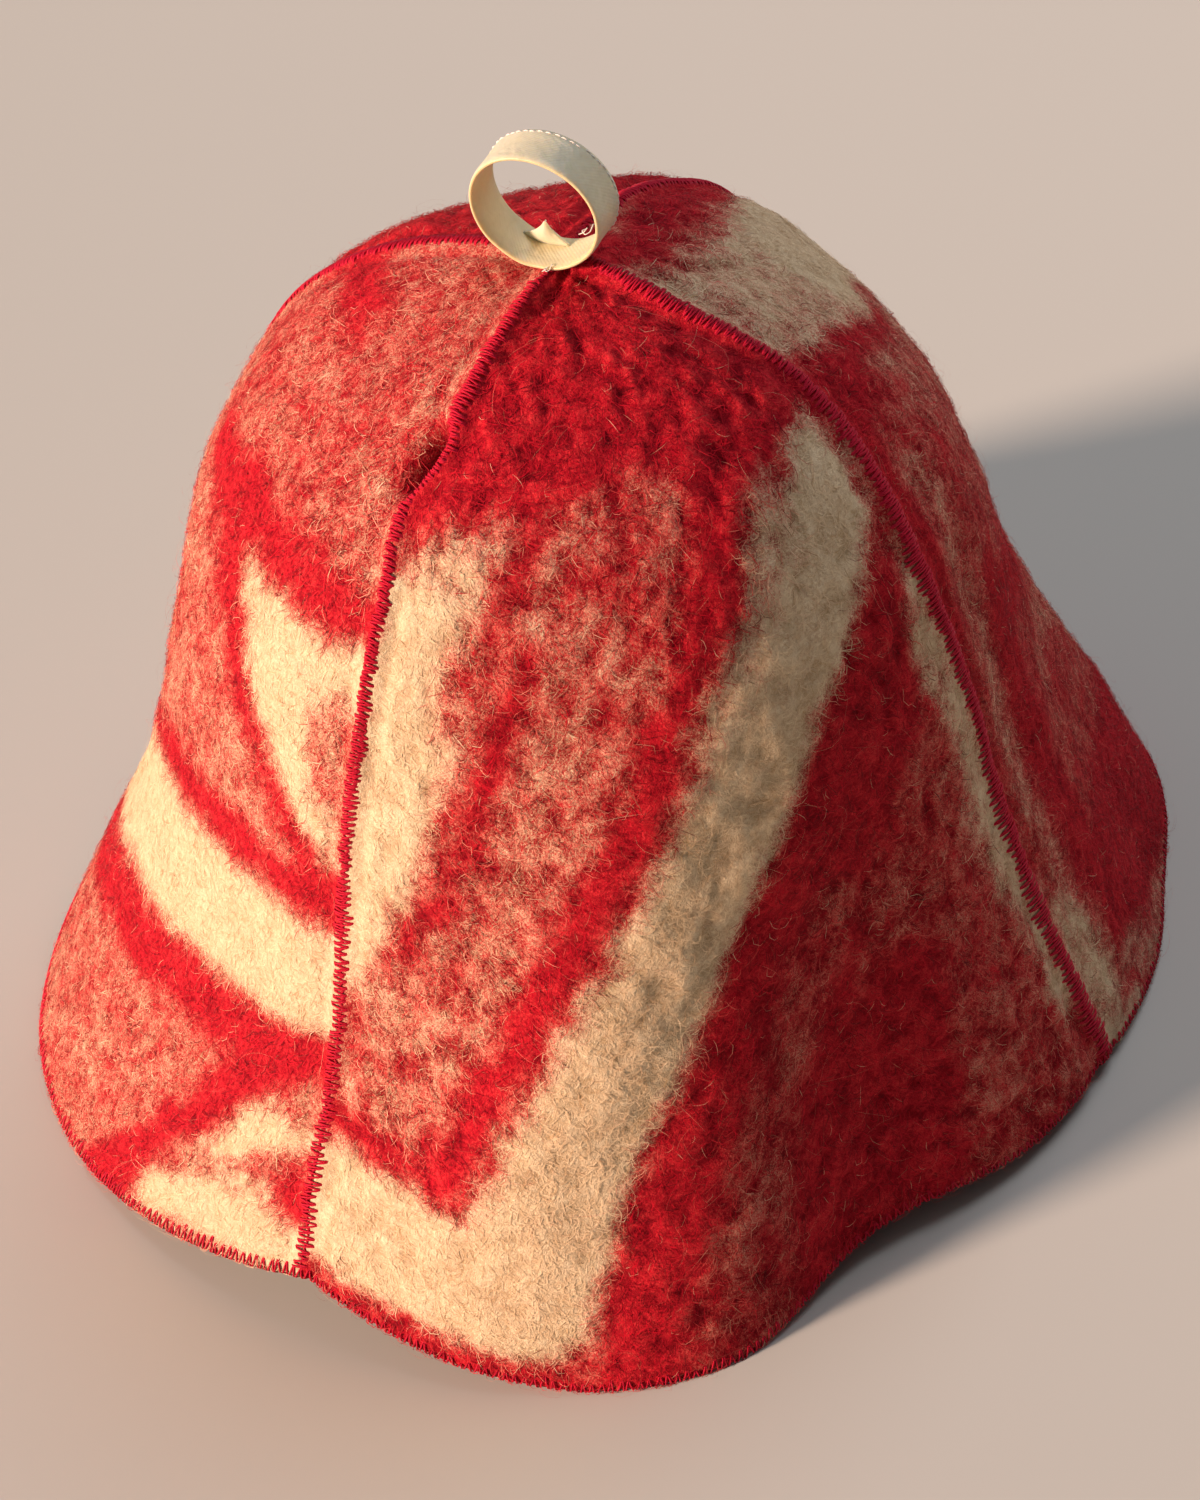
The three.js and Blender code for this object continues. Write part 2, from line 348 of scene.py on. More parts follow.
def feltHeight():
    swell = lumpNoise(surface + 90, felt["swellSize"]) * felt["swellHeight"]
    nearHem = np.clip(upGrid * felt["goreLength"] / felt["hemCalm"], felt["leastClump"], 1)
    height = (clumpGrid + swell * nearSeam) * nearHem
    rise = np.clip((upGrid - felt["ridgeFrom"]) / felt["ridgeOver"], 0, 1)
    ridge = felt["ridgeLow"] + (felt["ridgeHigh"] - felt["ridgeLow"]) * rise
    ridge = ridge * np.clip((1 - upGrid) / felt["ridgeEnd"], 0, 1)
    height = height + ridge * seamRidge * np.exp(-((fromSeam / felt["ridgeWidth"]) ** 2))
    groove = np.exp(-(((fromSeam - felt["grooveAt"]) / felt["grooveWidth"]) ** 2))
    return height - felt["grooveDepth"] * groove - creaseDepth(bends) - creaseGrid


nearSeam = np.clip(fromSeam / felt["seamCalm"], felt["leastClump"], 1)
creaseGrid = creaseDepth(creases)
clumpGrid = feltClumps()
feltGrid = feltHeight()
print("bell lattice", surface.shape)

# Soft-edged straight bands, as the blanket was woven. Each row is one band on a gore laid flat:
# the wool's share of red, then its route as (across, up, width) in millimetres. Later rows lie over
# earlier ones.
marl = 0.805
deepMarl = 0.865
midMarl = 0.745
paleMarl = 0.66
red = 0.995
cream = 0.02
rose = 0.6
blush = 0.2
pale = 0.1
bands = {
    "front": [
        (red, [(0, 285, 90), (0, 232, 110)]),
        (marl, [(-2, 202, 40), (-30, 165, 46)]),
        (midMarl, [(-16, 180, 38), (-40, 148, 44)]),
        (paleMarl, [(-34, 156, 40), (-92, 60, 44)]),
        (rose, [(-62, 108, 34), (-92, 60, 44)]),
        (red, [(-28, 190, 6), (-42, 160, 8), (-56, 128, 7), (-78, 98, 6)]),
        (rose, [(-30, 213, 10), (-42, 203, 16)]),
        (blush, [(-38, 208, 9), (-47, 196, 17)]),
        (cream, [(-51, 193, 15), (-57, 178, 19), (-62, 160, 20), (-69, 140, 19), (-76, 120, 15),
                 (-82, 104, 12), (-90, 86, 5)]),
        (red, [(22, 220, 14), (15, 200, 12), (-6, 160, 12), (-29, 120, 11), (-52, 80, 10), (-65, 58, 9),
               (-73, 44, 12)]),
        (red, [(-108, 50, 8), (-74, 44, 11)]),
        (red, [(54, 168, 26), (30, 110, 50), (10, 40, 90)]),
        (deepMarl, [(80, 150, 30), (74, 90, 70), (84, 0, 90)]),
        (deepMarl, [(26, 96, 24), (4, 50, 24), (-2, 14, 34)]),
        (red, [(50, 66, 24), (48, 12, 36)]),
        (cream, [(43, 212, 10), (42, 198, 25), (34, 180, 28), (19, 160, 26), (8, 138, 28), (-4, 120, 26),
                 (-16, 100, 27), (-28, 80, 28), (-39, 60, 27), (-54, 26, 36)]),
        (cream, [(-116, 25, 34), (-60, 25, 34)]),
        (blush, [(31, 206, 9), (24, 186, 10), (4, 162, 7)]),
        (red, [(56, 176, 14), (38, 146, 14), (18, 108, 16), (-6, 68, 18), (-26, 26, 20), (-30, 4, 22)]),
        (red, [(-122, 2, 8), (-44, 1, 10)]),
        (pale, [(62, 180, 3), (67, 156, 8), (73, 130, 10), (79, 105, 11), (86, 78, 10), (94, 52, 8),
                (103, 28, 5)]),
    ],
    "left": [
        (paleMarl, [(0, 300, 260), (0, 0, 260)]),
        (midMarl, [(0, 300, 70), (0, 240, 110)]),
        (red, [(-56, 236, 16), (-34, 252, 12), (-12, 258, 10)]),
        (red, [(-24, 202, 16), (6, 207, 20), (30, 206, 15), (66, 200, 12)]),
        (red, [(10, 198, 14), (34, 170, 11), (52, 146, 12), (76, 120, 16)]),
        (cream, [(18, 200, 2), (36, 190, 17), (48, 172, 22), (58, 154, 14), (72, 131, 3)]),
        (cream, [(44, 190, 12), (70, 186, 16)]),
        (rose, [(64, 174, 12), (68, 156, 12)]),
        (red, [(-60, 68, 12), (-34, 101, 13), (0, 123, 13), (34, 125, 14), (80, 118, 14)]),
        (cream, [(-72, 38, 28), (-42, 74, 29), (-8, 97, 32), (36, 99, 34), (92, 90, 32)]),
        (red, [(-84, 10, 16), (-42, 46, 17), (-8, 67, 18), (30, 72, 19), (94, 66, 19)]),
        (red, [(70, 62, 20), (63, 42, 14), (50, 18, 15), (42, 0, 20)]),
        (rose, [(88, 58, 8), (98, 50, 8)]),
        (cream, [(74, 33, 9), (81, 44, 16), (92, 44, 8)]),
        (blush, [(66, 26, 4), (92, 24, 8)]),
        (cream, [(64, 10, 14), (80, 14, 18), (120, 6, 16)]),
        (red, [(96, 34, 8), (104, 24, 12)]),
        (red, [(-120, 120, 20), (-80, 180, 14), (-56, 226, 12)]),
        (cream, [(-120, 70, 24), (-84, 128, 20)]),
    ],
    "right": [
        (paleMarl, [(0, 300, 260), (0, 0, 260)]),
        (red, [(0, 290, 20), (-2, 268, 12)]),
        (deepMarl, [(-60, 220, 60), (-40, 150, 66), (-44, 60, 90)]),
        (red, [(-50, 218, 26), (-22, 224, 18), (0, 204, 14)]),
        (red, [(-54, 206, 14), (-67, 176, 14), (-75, 140, 13), (-83, 104, 11), (-89, 76, 9)]),
        (paleMarl, [(-46, 196, 8), (-57, 160, 12), (-63, 124, 12), (-70, 92, 10), (-78, 64, 7)]),
        (blush, [(-18, 262, 16), (-12, 240, 34), (6, 224, 36)]),
        (cream, [(14, 222, 34), (44, 196, 30), (70, 168, 20)]),
        (red, [(8, 266, 12), (34, 238, 14), (60, 206, 12)]),
        (midMarl, [(-32, 198, 8), (-14, 184, 26), (8, 166, 30)]),
        (red, [(-43, 150, 10), (-47, 132, 16), (-54, 104, 14), (-66, 62, 18), (-76, 30, 14)]),
        (red, [(-40, 136, 22), (-8, 120, 20)]),
        (midMarl, [(-34, 98, 8), (6, 92, 26)]),
        (red, [(-50, 36, 50), (10, 20, 60), (40, 40, 60)]),
        (blush, [(-86, 54, 7), (-90, 38, 14), (-99, 8, 11)]),
        (cream, [(-98, 2, 7), (-86, 2, 5)]),
        (red, [(60, 120, 18), (100, 60, 20)]),
        (cream, [(46, 92, 20), (90, 20, 26)]),
        (red, [(26, 80, 14), (70, 8, 16)]),
    ],
    "back": [
        (marl, [(0, 300, 260), (0, 0, 260)]),
        (red, [(0, 290, 90), (0, 240, 100)]),
        (red, [(-56, 196, 14), (0, 214, 18), (56, 196, 14)]),
        (cream, [(-60, 168, 26), (0, 186, 30), (60, 168, 26)]),
        (red, [(-70, 140, 14), (0, 160, 16), (70, 140, 14)]),
        (red, [(-92, 84, 14), (0, 110, 16), (92, 84, 14)]),
        (cream, [(-100, 56, 30), (0, 84, 34), (100, 56, 30)]),
        (red, [(-110, 28, 16), (0, 56, 18), (110, 28, 16)]),
        (cream, [(-40, 10, 22), (0, 24, 10), (40, 10, 22)]),
    ],
}
pattern = {
    "edge": 4.0,  # half the breadth over which one wool fades into the next
    "wander": 2.6,  # how far an edge strays
    "wanderSize": 6.0,
    "frizz": 1.6,
    "frizzSize": 2.2,
    "blotch": 0.3,  # how uneven the marl is
    "blotchSize": 2.3,
    "drift": 0.12,  # and how far it drifts from place to place
    "driftSize": 9.0,
}


def flatPlace(name, azimuth, up):
    # where a point of a gore lies when the gore is laid flat
    middle = np.full_like(azimuth, gores[name]["middle"], dtype=float)
    across = sample(girth, azimuth, up) - sample(girth, middle, up)
    column = int(round((gores[name]["middle"] - lattice["from"]) / lattice["step"]))
    steps = np.linalg.norm(np.diff(surface[column], axis=0), axis=-1)
    lengths = np.concatenate([[0], np.cumsum(steps)])
    return across, np.interp(up, latticeUps, lengths)


def bandGap(route, across, up):
    # how far a place lies outside a band, negative inside
    gap = np.full(across.shape, 999.0)
    for (x0, y0, w0), (x1, y1, w1) in zip(route[:-1], route[1:]):
        dx = x1 - x0
        dy = y1 - y0
        share = np.clip(((across - x0) * dx + (up - y0) * dy) / (dx * dx + dy * dy), 0, 1)
        far = np.hypot(across - x0 - dx * share, up - y0 - dy * share)
        gap = np.minimum(gap, far - (w0 + (w1 - w0) * share) / 2)
    return gap


def redShare(name, azimuth, up):
    # how much of the wool at a place is dyed red, from 0 to 1
    across, height = flatPlace(name, azimuth, up)
    places = sample(surface, azimuth, up)
    stray = blotchNoise(places, pattern["wanderSize"]) * pattern["wander"]
    stray = stray + blotchNoise(places + 70, pattern["frizzSize"]) * pattern["frizz"]
    share = np.full(across.shape, marl)
    for amount, route in bands[name]:
        gap = bandGap(route, across, height) + stray
        cover = np.clip(0.5 - gap / (2 * pattern["edge"]), 0, 1)
        cover = cover * cover * (3 - 2 * cover)
        share = share + (amount - share) * cover
    streaks = blotchNoise(places * (1, 1, felt["stretch"]) + 20, pattern["blotchSize"])
    drift = blotchNoise(places + 50, pattern["driftSize"])
    mixed = 4 * share * (1 - share)
    return np.clip(share + (streaks * pattern["blotch"] + drift * pattern["drift"]) * mixed, 0, 1)


# Colours and nodes.
def linearColour(code):
    # an sRGB hex code as the linear colour that shaders take
    channels = [int(code[i:i + 2], 16) / 255 for i in (1, 3, 5)]
    return [c / 12.92 if c <= 0.04045 else ((c + 0.055) / 1.055) ** 2.4 for c in channels] + [1]


def addNode(tree, kind, settings=None, links=None):
    # a node with its settings and what is linked into it
    node = tree.nodes.new("ShaderNode" + kind)
    for name, value in (settings or {}).items():
        if isinstance(name, str) and hasattr(node, name):
            setattr(node, name, value)
        else:
            node.inputs[name].default_value = value
    for name, output in (links or {}).items():
        tree.links.new(output, node.inputs[name])
    return node


def newMaterial(name):
    material = bpy.data.materials.new(name)
    material.use_nodes = True
    material.node_tree.nodes.clear()
    return material, material.node_tree


# Wool blanket, woven, fulled and brushed: dull curly fibres that lie over each other, with painted shade in
# the pits between clumps and in the creases. The strands and grain are drawn about three times as coarse as
# real wool, to show.
wool = {
    "cream": "#f7e5c2",
    # the dull ends of cream and red stand both for duller fibres and for painted shade in the pits
    "creamDullAndShade": "#c8a87a",
    "red": "#dc0f2e",
    "redDullAndShade": "#640717",
    "shadeRedden": 2.0,  # painted shade: how much redder dull fibres are made in marl, for the red light between red fibres
    "pitShade": 0.86,  # painted shade: how much light is left at the bottom of a pit
    "strandSize": 1.15,
    "grainSize": 0.42,
    "clumpSize": 1.7,
    "roughness": 0.9,
    "napRoughness": 0.65,
    "sheen": "#f4cdb4",
}


def strandLines(tree, places, size, seed):
    # thin curling lines, 1 on a strand and 0 off it
    noise = addNode(tree, "TexNoise", {"noise_dimensions": "4D", "W": seed, "Scale": 1 / (size * mm),
                                       "Detail": 1.5, "Distortion": 2.4}, {"Vector": places}).outputs["Fac"]
    off = addNode(tree, "Math", {"operation": "SUBTRACT", 1: 0.5}, {0: noise}).outputs[0]
    gap = addNode(tree, "Math", {"operation": "ABSOLUTE"}, {0: off}).outputs[0]
    return addNode(tree, "MapRange", {"interpolation_type": "SMOOTHSTEP", "From Min": 0.0, "From Max": 0.09,
                                      "To Min": 1.0, "To Max": 0.0}, {"Value": gap}).outputs["Result"]


def woolColour(tree, share, tone):
    # cream or red by the share of red, each from dull to bright by its tone; where the two are mixed,
    # the dull fibres are made redder, as painted shade for the red light between red fibres
    plain = addNode(tree, "Math", {"operation": "SUBTRACT", 0: 1.0}, {1: share}).outputs[0]
    mixed = addNode(tree, "Math", {"operation": "MULTIPLY"}, {0: share, 1: plain}).outputs[0]
    dull = addNode(tree, "Math", {"operation": "SUBTRACT", 0: 1.0}, {1: tone}).outputs[0]
    shadeRedden = addNode(tree, "Math", {"operation": "MULTIPLY"}, {0: mixed, 1: dull}).outputs[0]
    dyed = addNode(tree, "Math", {"operation": "MULTIPLY_ADD", 1: wool["shadeRedden"], "use_clamp": True},
                   {0: shadeRedden, 2: share}).outputs[0]
    creamTone = addNode(tree, "Mix", {"data_type": "RGBA", 6: linearColour(wool["creamDullAndShade"]),
                                      7: linearColour(wool["cream"])}, {0: tone}).outputs[2]
    redTone = addNode(tree, "Mix", {"data_type": "RGBA", 6: linearColour(wool["redDullAndShade"]),
                                    7: linearColour(wool["red"])}, {0: tone}).outputs[2]
    return addNode(tree, "Mix", {"data_type": "RGBA"}, {0: dyed, 6: creamTone, 7: redTone}).outputs[2]


def woolWallMaterial():
    material, tree = newMaterial("fulledBlanketWool")
    share = addNode(tree, "Attribute", {"attribute_name": "redShare"}).outputs["Fac"]
    loft = addNode(tree, "Attribute", {"attribute_name": "loft"}).outputs["Fac"]
    places = addNode(tree, "TexCoord").outputs["Object"]
    grain = addNode(tree, "TexNoise", {"Scale": 1 / (wool["grainSize"] * mm), "Detail": 3, "Roughness": 0.6,
                                       "Distortion": 0.8}, {"Vector": places}).outputs["Fac"]
    clump = addNode(tree, "TexNoise", {"Scale": 1 / (wool["clumpSize"] * mm), "Detail": 4, "Roughness": 0.6,
                                       "Distortion": 0.6}, {"Vector": places}).outputs["Fac"]
    strandsA = strandLines(tree, places, wool["strandSize"], 1.0)
    strandsB = strandLines(tree, places, wool["strandSize"] * 1.4, 5.0)
    strands = addNode(tree, "Math", {"operation": "MAXIMUM"}, {0: strandsA, 1: strandsB}).outputs[0]
    # cream and red fibres mix only where the share is neither one nor the other
    plain = addNode(tree, "Math", {"operation": "SUBTRACT", 0: 1.0}, {1: share}).outputs[0]
    mixed = addNode(tree, "Math", {"operation": "MULTIPLY"}, {0: share, 1: plain}).outputs[0]
    grainOff = addNode(tree, "MapRange", {"From Min": 0.3, "From Max": 0.7, "To Min": -1.9, "To Max": 1.9},
                       {"Value": grain}).outputs["Result"]
    # redder in the pits as painted shade, and redder or paler with the grain at random
    deep = addNode(tree, "Math", {"operation": "MULTIPLY_ADD", 1: -0.9}, {0: loft, 2: grainOff}).outputs[0]
    stray = addNode(tree, "Math", {"operation": "MULTIPLY"}, {0: mixed, 1: deep}).outputs[0]
    here = addNode(tree, "Math", {"operation": "ADD", "use_clamp": True}, {0: share, 1: stray}).outputs[0]
    pale = addNode(tree, "Math", {"operation": "MULTIPLY_ADD", 1: -0.04}, {0: strands, 2: here}).outputs[0]
    clumpTone = addNode(tree, "MapRange", {"From Min": 0.3, "From Max": 0.7, "To Min": 0.2, "To Max": 0.85},
                        {"Value": clump}).outputs["Result"]
    # duller in the pits and creases: painted shade
    lifted = addNode(tree, "Math", {"operation": "MULTIPLY_ADD", 1: 0.45}, {0: loft, 2: clumpTone}).outputs[0]
    tone = addNode(tree, "Math", {"operation": "MULTIPLY_ADD", 1: 0.3, "use_clamp": True},
                   {0: strands, 2: lifted}).outputs[0]
    colour = woolColour(tree, pale, tone)
    # painted shade: darker towards the bottom of the pits and in the creases
    lit = addNode(tree, "MapRange", {"interpolation_type": "SMOOTHSTEP", "From Min": -0.75, "From Max": 0.2,
                                     "To Min": wool["pitShade"], "To Max": 1.0}, {"Value": loft}).outputs["Result"]
    shaded = addNode(tree, "Mix", {"data_type": "RGBA", "blend_type": "MULTIPLY", 0: 1.0},
                     {6: colour, 7: lit}).outputs[2]
    coarse = addNode(tree, "Math", {"operation": "MULTIPLY_ADD", 1: 0.22}, {0: strands, 2: clump}).outputs[0]
    height = addNode(tree, "Math", {"operation": "MULTIPLY_ADD", 1: 0.25}, {0: grain, 2: coarse}).outputs[0]
    bump = addNode(tree, "Bump", {"Strength": 0.7, "Distance": 1.0 * mm}, {"Height": height}).outputs[0]
    shader = addNode(tree, "BsdfPrincipled",
                     {"Roughness": wool["roughness"], "Specular IOR Level": 0.05, "Sheen Weight": 0.03,
                      "Sheen Roughness": 0.6, "Sheen Tint": linearColour(wool["sheen"])},
                     {"Base Color": shaded, "Normal": bump})
    addNode(tree, "OutputMaterial", None, {"Surface": shader.outputs[0]})
    return material


def woolNapMaterial():
    # Brushed-up wool fibres: each one dyed red or left cream, a little glossy along its length.
    material, tree = newMaterial("brushedWoolNap")
    share = addNode(tree, "Attribute", {"attribute_name": "redShare"}).outputs["Fac"]
    tone = addNode(tree, "Attribute", {"attribute_name": "tone"}).outputs["Fac"]
    shader = addNode(tree, "BsdfPrincipled",
                     {"Roughness": wool["napRoughness"], "Specular IOR Level": 0.12, "Sheen Weight": 0.03,
                      "Sheen Roughness": 0.5, "Sheen Tint": linearColour(wool["sheen"])},
                     {"Base Color": woolColour(tree, share, tone)})
    addNode(tree, "OutputMaterial", None, {"Surface": shader.outputs[0]})
    return material


# dark and light: painted shade and highlight round a thread's twist
thread = {"dark": "#940a1c", "light": "#e8284a", "shine": "#ff6a8e"}
cotton = {"dark": "#d8d4cc", "light": "#fbfaf6"}


def twistedThread(tree, colours, settings):
    # how far round its twist a thread is at a place, and its colour there, from dark to light as painted
    # shade and highlight on the plies; the twist is drawn coarser than a real one, to show
    place = addNode(tree, "UVMap", {"uv_map": "threadPlace"}).outputs[0]
    twist = addNode(tree, "TexWave", {"bands_direction": "DIAGONAL", "Scale": 3.0, **settings},
                    {"Vector": place}).outputs["Fac"]
    return twist, addNode(tree, "Mix", {"data_type": "RGBA", 6: linearColour(colours["dark"]),
                                        7: linearColour(colours["light"])}, {0: twist}).outputs[2]


def threadMaterial():
    # Two-ply polyester thread: raspberry, its lustre running round its twist partly real shine and partly
    # painted highlight.
    material, tree = newMaterial("raspberryPolyesterThread")
    twist, colour = twistedThread(tree, thread, {"Distortion": 0.6})
    bump = addNode(tree, "Bump", {"Strength": 0.5, "Distance": 0.1 * mm}, {"Height": twist}).outputs[0]
    shader = addNode(tree, "BsdfPrincipled",
                     {"Roughness": 0.45, "Specular IOR Level": 0.4,
                      "Specular Tint": linearColour(thread["shine"])},
                     {"Base Color": colour, "Normal": bump})
    addNode(tree, "OutputMaterial", None, {"Surface": shader.outputs[0]})
    return material


def topstitchMaterial():
    # Glazed cotton thread: white and smooth, with a small bright line along it that is a painted highlight.
    material, tree = newMaterial("whiteGlazedCotton")
    colour = twistedThread(tree, cotton, {})[1]
    shader = addNode(tree, "BsdfPrincipled", {"Roughness": 0.35, "Specular IOR Level": 0.5},
                     {"Base Color": colour})
    addNode(tree, "OutputMaterial", None, {"Surface": shader.outputs[0]})
    return material


loop = {
    "width": 30.5,
    "height": 29.0,
    "tapeWidth": 11.0,
    "tapeThickness": 1.2,
    "turn": 39,  # degrees from facing the front
    "around": 120,
    "swell": 0.12,
    "pucker": 0.16,  # where it is sewn down
}

# Satin bias tape: ivory and smooth, its fine ribs break up the shine, and its folds have yellowed; its inner
# side is tinted golden too, as painted light passing through the tape.
satin = {
    "ivory": "#e2e4cc",
    "ivoryShade": "#cccaac",
    "inside": 0.45,  # painted light: how far the inner side is tinted golden, for light passing through the tape
    "fold": "#dccb94",
    "foldWidth": 0.7,
    "ribPitch": 0.5,  # about three times as coarse as real satin, to show
}


def satinMaterial():
    material, tree = newMaterial("ivorySatinTape")
    place = addNode(tree, "UVMap", {"uv_map": "tapePlace"}).outputs[0]
    parts = addNode(tree, "SeparateXYZ", None, {0: place}).outputs
    ribs = addNode(tree, "TexWave", {"wave_type": "BANDS", "bands_direction": "DIAGONAL", "Distortion": 0.8,
                                     "Scale": 0.31 / satin["ribPitch"], "Detail": 1, "Detail Scale": 1.5},
                   {"Vector": place}).outputs["Fac"]
    weft = addNode(tree, "TexNoise", {"Scale": 0.55, "Detail": 4}, {"Vector": place}).outputs["Fac"]
    wrinkles = addNode(tree, "TexNoise", {"Scale": 0.16, "Detail": 2, "Distortion": 1.0},
                       {"Vector": place}).outputs["Fac"]
    plain = addNode(tree, "Mix", {"data_type": "RGBA", 6: linearColour(satin["ivoryShade"]),
                                  7: linearColour(satin["ivory"])}, {0: weft}).outputs[2]
    far = addNode(tree, "Math", {"operation": "ABSOLUTE"}, {0: parts["Y"]}).outputs[0]
    edge = loop["tapeWidth"] / 2
    onFold = addNode(tree, "MapRange", {"interpolation_type": "SMOOTHSTEP", "To Max": 0.35, "From Max": edge,
                                        "From Min": edge - satin["foldWidth"]}, {"Value": far}).outputs[0]
    # painted light: the inner side takes the folds' golden colour
    inner = addNode(tree, "Attribute", {"attribute_name": "innerSide"}).outputs["Fac"]
    edgeGoldAndInnerGlow = addNode(tree, "Math", {"operation": "MULTIPLY_ADD", 1: satin["inside"], "use_clamp": True},
                   {0: inner, 2: onFold}).outputs[0]
    colour = addNode(tree, "Mix", {"data_type": "RGBA", 7: linearColour(satin["fold"])},
                     {0: edgeGoldAndInnerGlow, 6: plain}).outputs[2]
    fine = addNode(tree, "Math", {"operation": "MULTIPLY_ADD", 1: 0.2}, {0: ribs, 2: weft}).outputs[0]
    height = addNode(tree, "Math", {"operation": "MULTIPLY_ADD", 1: 3.0}, {0: wrinkles, 2: fine}).outputs[0]
    bump = addNode(tree, "Bump", {"Strength": 0.5, "Distance": 0.2 * mm}, {"Height": height}).outputs[0]
    shader = addNode(tree, "BsdfPrincipled",
                     {"Roughness": 0.42, "Specular IOR Level": 0.45, "Sheen Weight": 0.1,
                      "Sheen Roughness": 0.3, "Subsurface Weight": 0.35,
                      "Subsurface Radius": (1.0, 0.75, 0.4), "Subsurface Scale": 1.5 * mm},
                     {"Base Color": colour, "Normal": bump})
    addNode(tree, "OutputMaterial", None, {"Surface": shader.outputs[0]})
    return material


wallWool = woolWallMaterial()
napWool = woolNapMaterial()
sewingThread = threadMaterial()
satinTape = satinMaterial()
topstitchThread = topstitchMaterial()
print("materials")


# Making pieces.
def newObject(name, data):
    made = bpy.data.objects.new(name, data)
    bpy.context.scene.collection.objects.link(made)
    return made


def newPiece(name, mesh, material):
    piece = newObject(name, mesh)
    mesh.materials.append(material)
    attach(piece, "root")
    return piece


def meshFrom(bm, name):
    for face in bm.faces:
        face.smooth = True
    mesh = bpy.data.meshes.new(name)
    bm.to_mesh(mesh)
    bm.free()
    return mesh


def storeValues(mesh, name, values):
    attribute = mesh.attributes.new(name, "FLOAT", "POINT")
    attribute.data.foreach_set("value", np.asarray(values, np.float32).ravel())


def storePlaces(mesh, name, places):
    # a UV map from one place for each face corner
    layer = mesh.uv_layers.new(name=name)
    layer.data.foreach_set("uv", np.asarray(places, np.float32).ravel())


def templateOf(bm):
    # a small mesh as arrays: its vertices, its faces' corners and each face's corner count
    bm.verts.index_update()
    points = np.array([vertex.co for vertex in bm.verts])
    corners = np.array([vertex.index for face in bm.faces for vertex in face.verts])
    sizes = np.array([len(face.verts) for face in bm.faces])
    bm.free()
    return points, corners, sizes


def joinedCopies(name, template, places):
    # one mesh of many copies of a small one, whose vertices are at places[copy, vertex]
    points, corners, sizes = template
    copies = len(places)
    allCorners = (corners[None] + np.arange(copies)[:, None] * len(points)).ravel()
    allSizes = np.tile(sizes, copies)
    starts = np.cumsum(allSizes) - allSizes
    mesh = bpy.data.meshes.new(name)
    mesh.vertices.add(copies * len(points))
    mesh.vertices.foreach_set("co", (places * mm).astype(np.float32).ravel())
    mesh.loops.add(len(allCorners))
    mesh.loops.foreach_set("vertex_index", allCorners.astype(np.int32))
    mesh.polygons.add(len(allSizes))
    mesh.polygons.foreach_set("loop_start", starts.astype(np.int32))
    mesh.polygons.foreach_set("use_smooth", np.ones(len(allSizes), bool))
    mesh.update(calc_edges=True)
    return mesh, allCorners


# Gore walls.
wall = {
    "columns": 108,
    "rows": 150,
    "edgeBias": 0.55,  # the mesh is finer towards the edges, where the wool is rounded
    "rounding": 1.1,  # how much the cut edge is rounded
    "roundingWidth": 2.6,
    "seamGap": 0.25,
    "tipUp": 0.997,
    "creaseShade": 0.3,  # painted shade: how much darker a crease is for each millimetre
}


def easeEdges(share):
    return share + wall["edgeBias"] * np.sin(2 * np.pi * share) / (-2 * np.pi)


def makeGoreWall(name):
    gore = gores[name]
    bm = bmesh.new()
    bmesh.ops.create_grid(bm, x_segments=wall["columns"], y_segments=wall["rows"], size=0.5)
    bm.verts.ensure_lookup_table()
    flat = np.array([vertex.co[:2] for vertex in bm.verts]) + 0.5
    up = easeEdges(flat[:, 1]) * wall["tipUp"]
    left = seamAt(gore["left"], up)
    right = seamAt(gore["right"], up) + gore["turn"]
    inset = wall["seamGap"] / 2 / sample(perDegree, (left + right) / 2, up)
    across = easeEdges(flat[:, 0])
    azimuth = left + inset + (right - left - 2 * inset) * across
    outward = sample(normals, azimuth, up)
    shares = redShare(name, azimuth, up)
    lofts = sample(clumpGrid, azimuth, up) * (1 - creamCalm * (1 - shares))
    height = sample(feltGrid, azimuth, up) + lofts - sample(clumpGrid, azimuth, up)
    fromHem = up * sample(perUp, azimuth, up)
    rim = np.clip(1 - fromHem / wall["roundingWidth"], 0, 1)
    height = height - wall["rounding"] * (1 - np.sqrt(np.maximum(1 - rim * rim, 0)))
    places = sample(surface, azimuth, up) + outward * height[:, None]
    for vertex, place in zip(bm.verts, places):
        vertex.co = Vector(place * mm)
    shareLayer = bm.verts.layers.float.new("redShare")
    loftLayer = bm.verts.layers.float.new("loft")
    # painted shade in the creases, carried to the shader by the loft
    lofts = lofts - wall["creaseShade"] * sample(creaseGrid, azimuth, up)
    for vertex, share, loft in zip(bm.verts, shares, lofts):
        vertex[shareLayer] = share
        vertex[loftLayer] = loft
    bm.normal_update()
    bmesh.ops.solidify(bm, geom=bm.faces[:], thickness=bell["woolThickness"] * mm)
    bmesh.ops.recalc_face_normals(bm, faces=bm.faces)
    for vertex in bm.verts:
        vertex.co.z = max(vertex.co.z, 0)
    title = "gore_" + name + "_wool"
    piece = newPiece(title, meshFrom(bm, title), wallWool)
    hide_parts("gore_" + name)
    return piece


walls = {name: makeGoreWall(name) for name in gores}
print("gore walls")

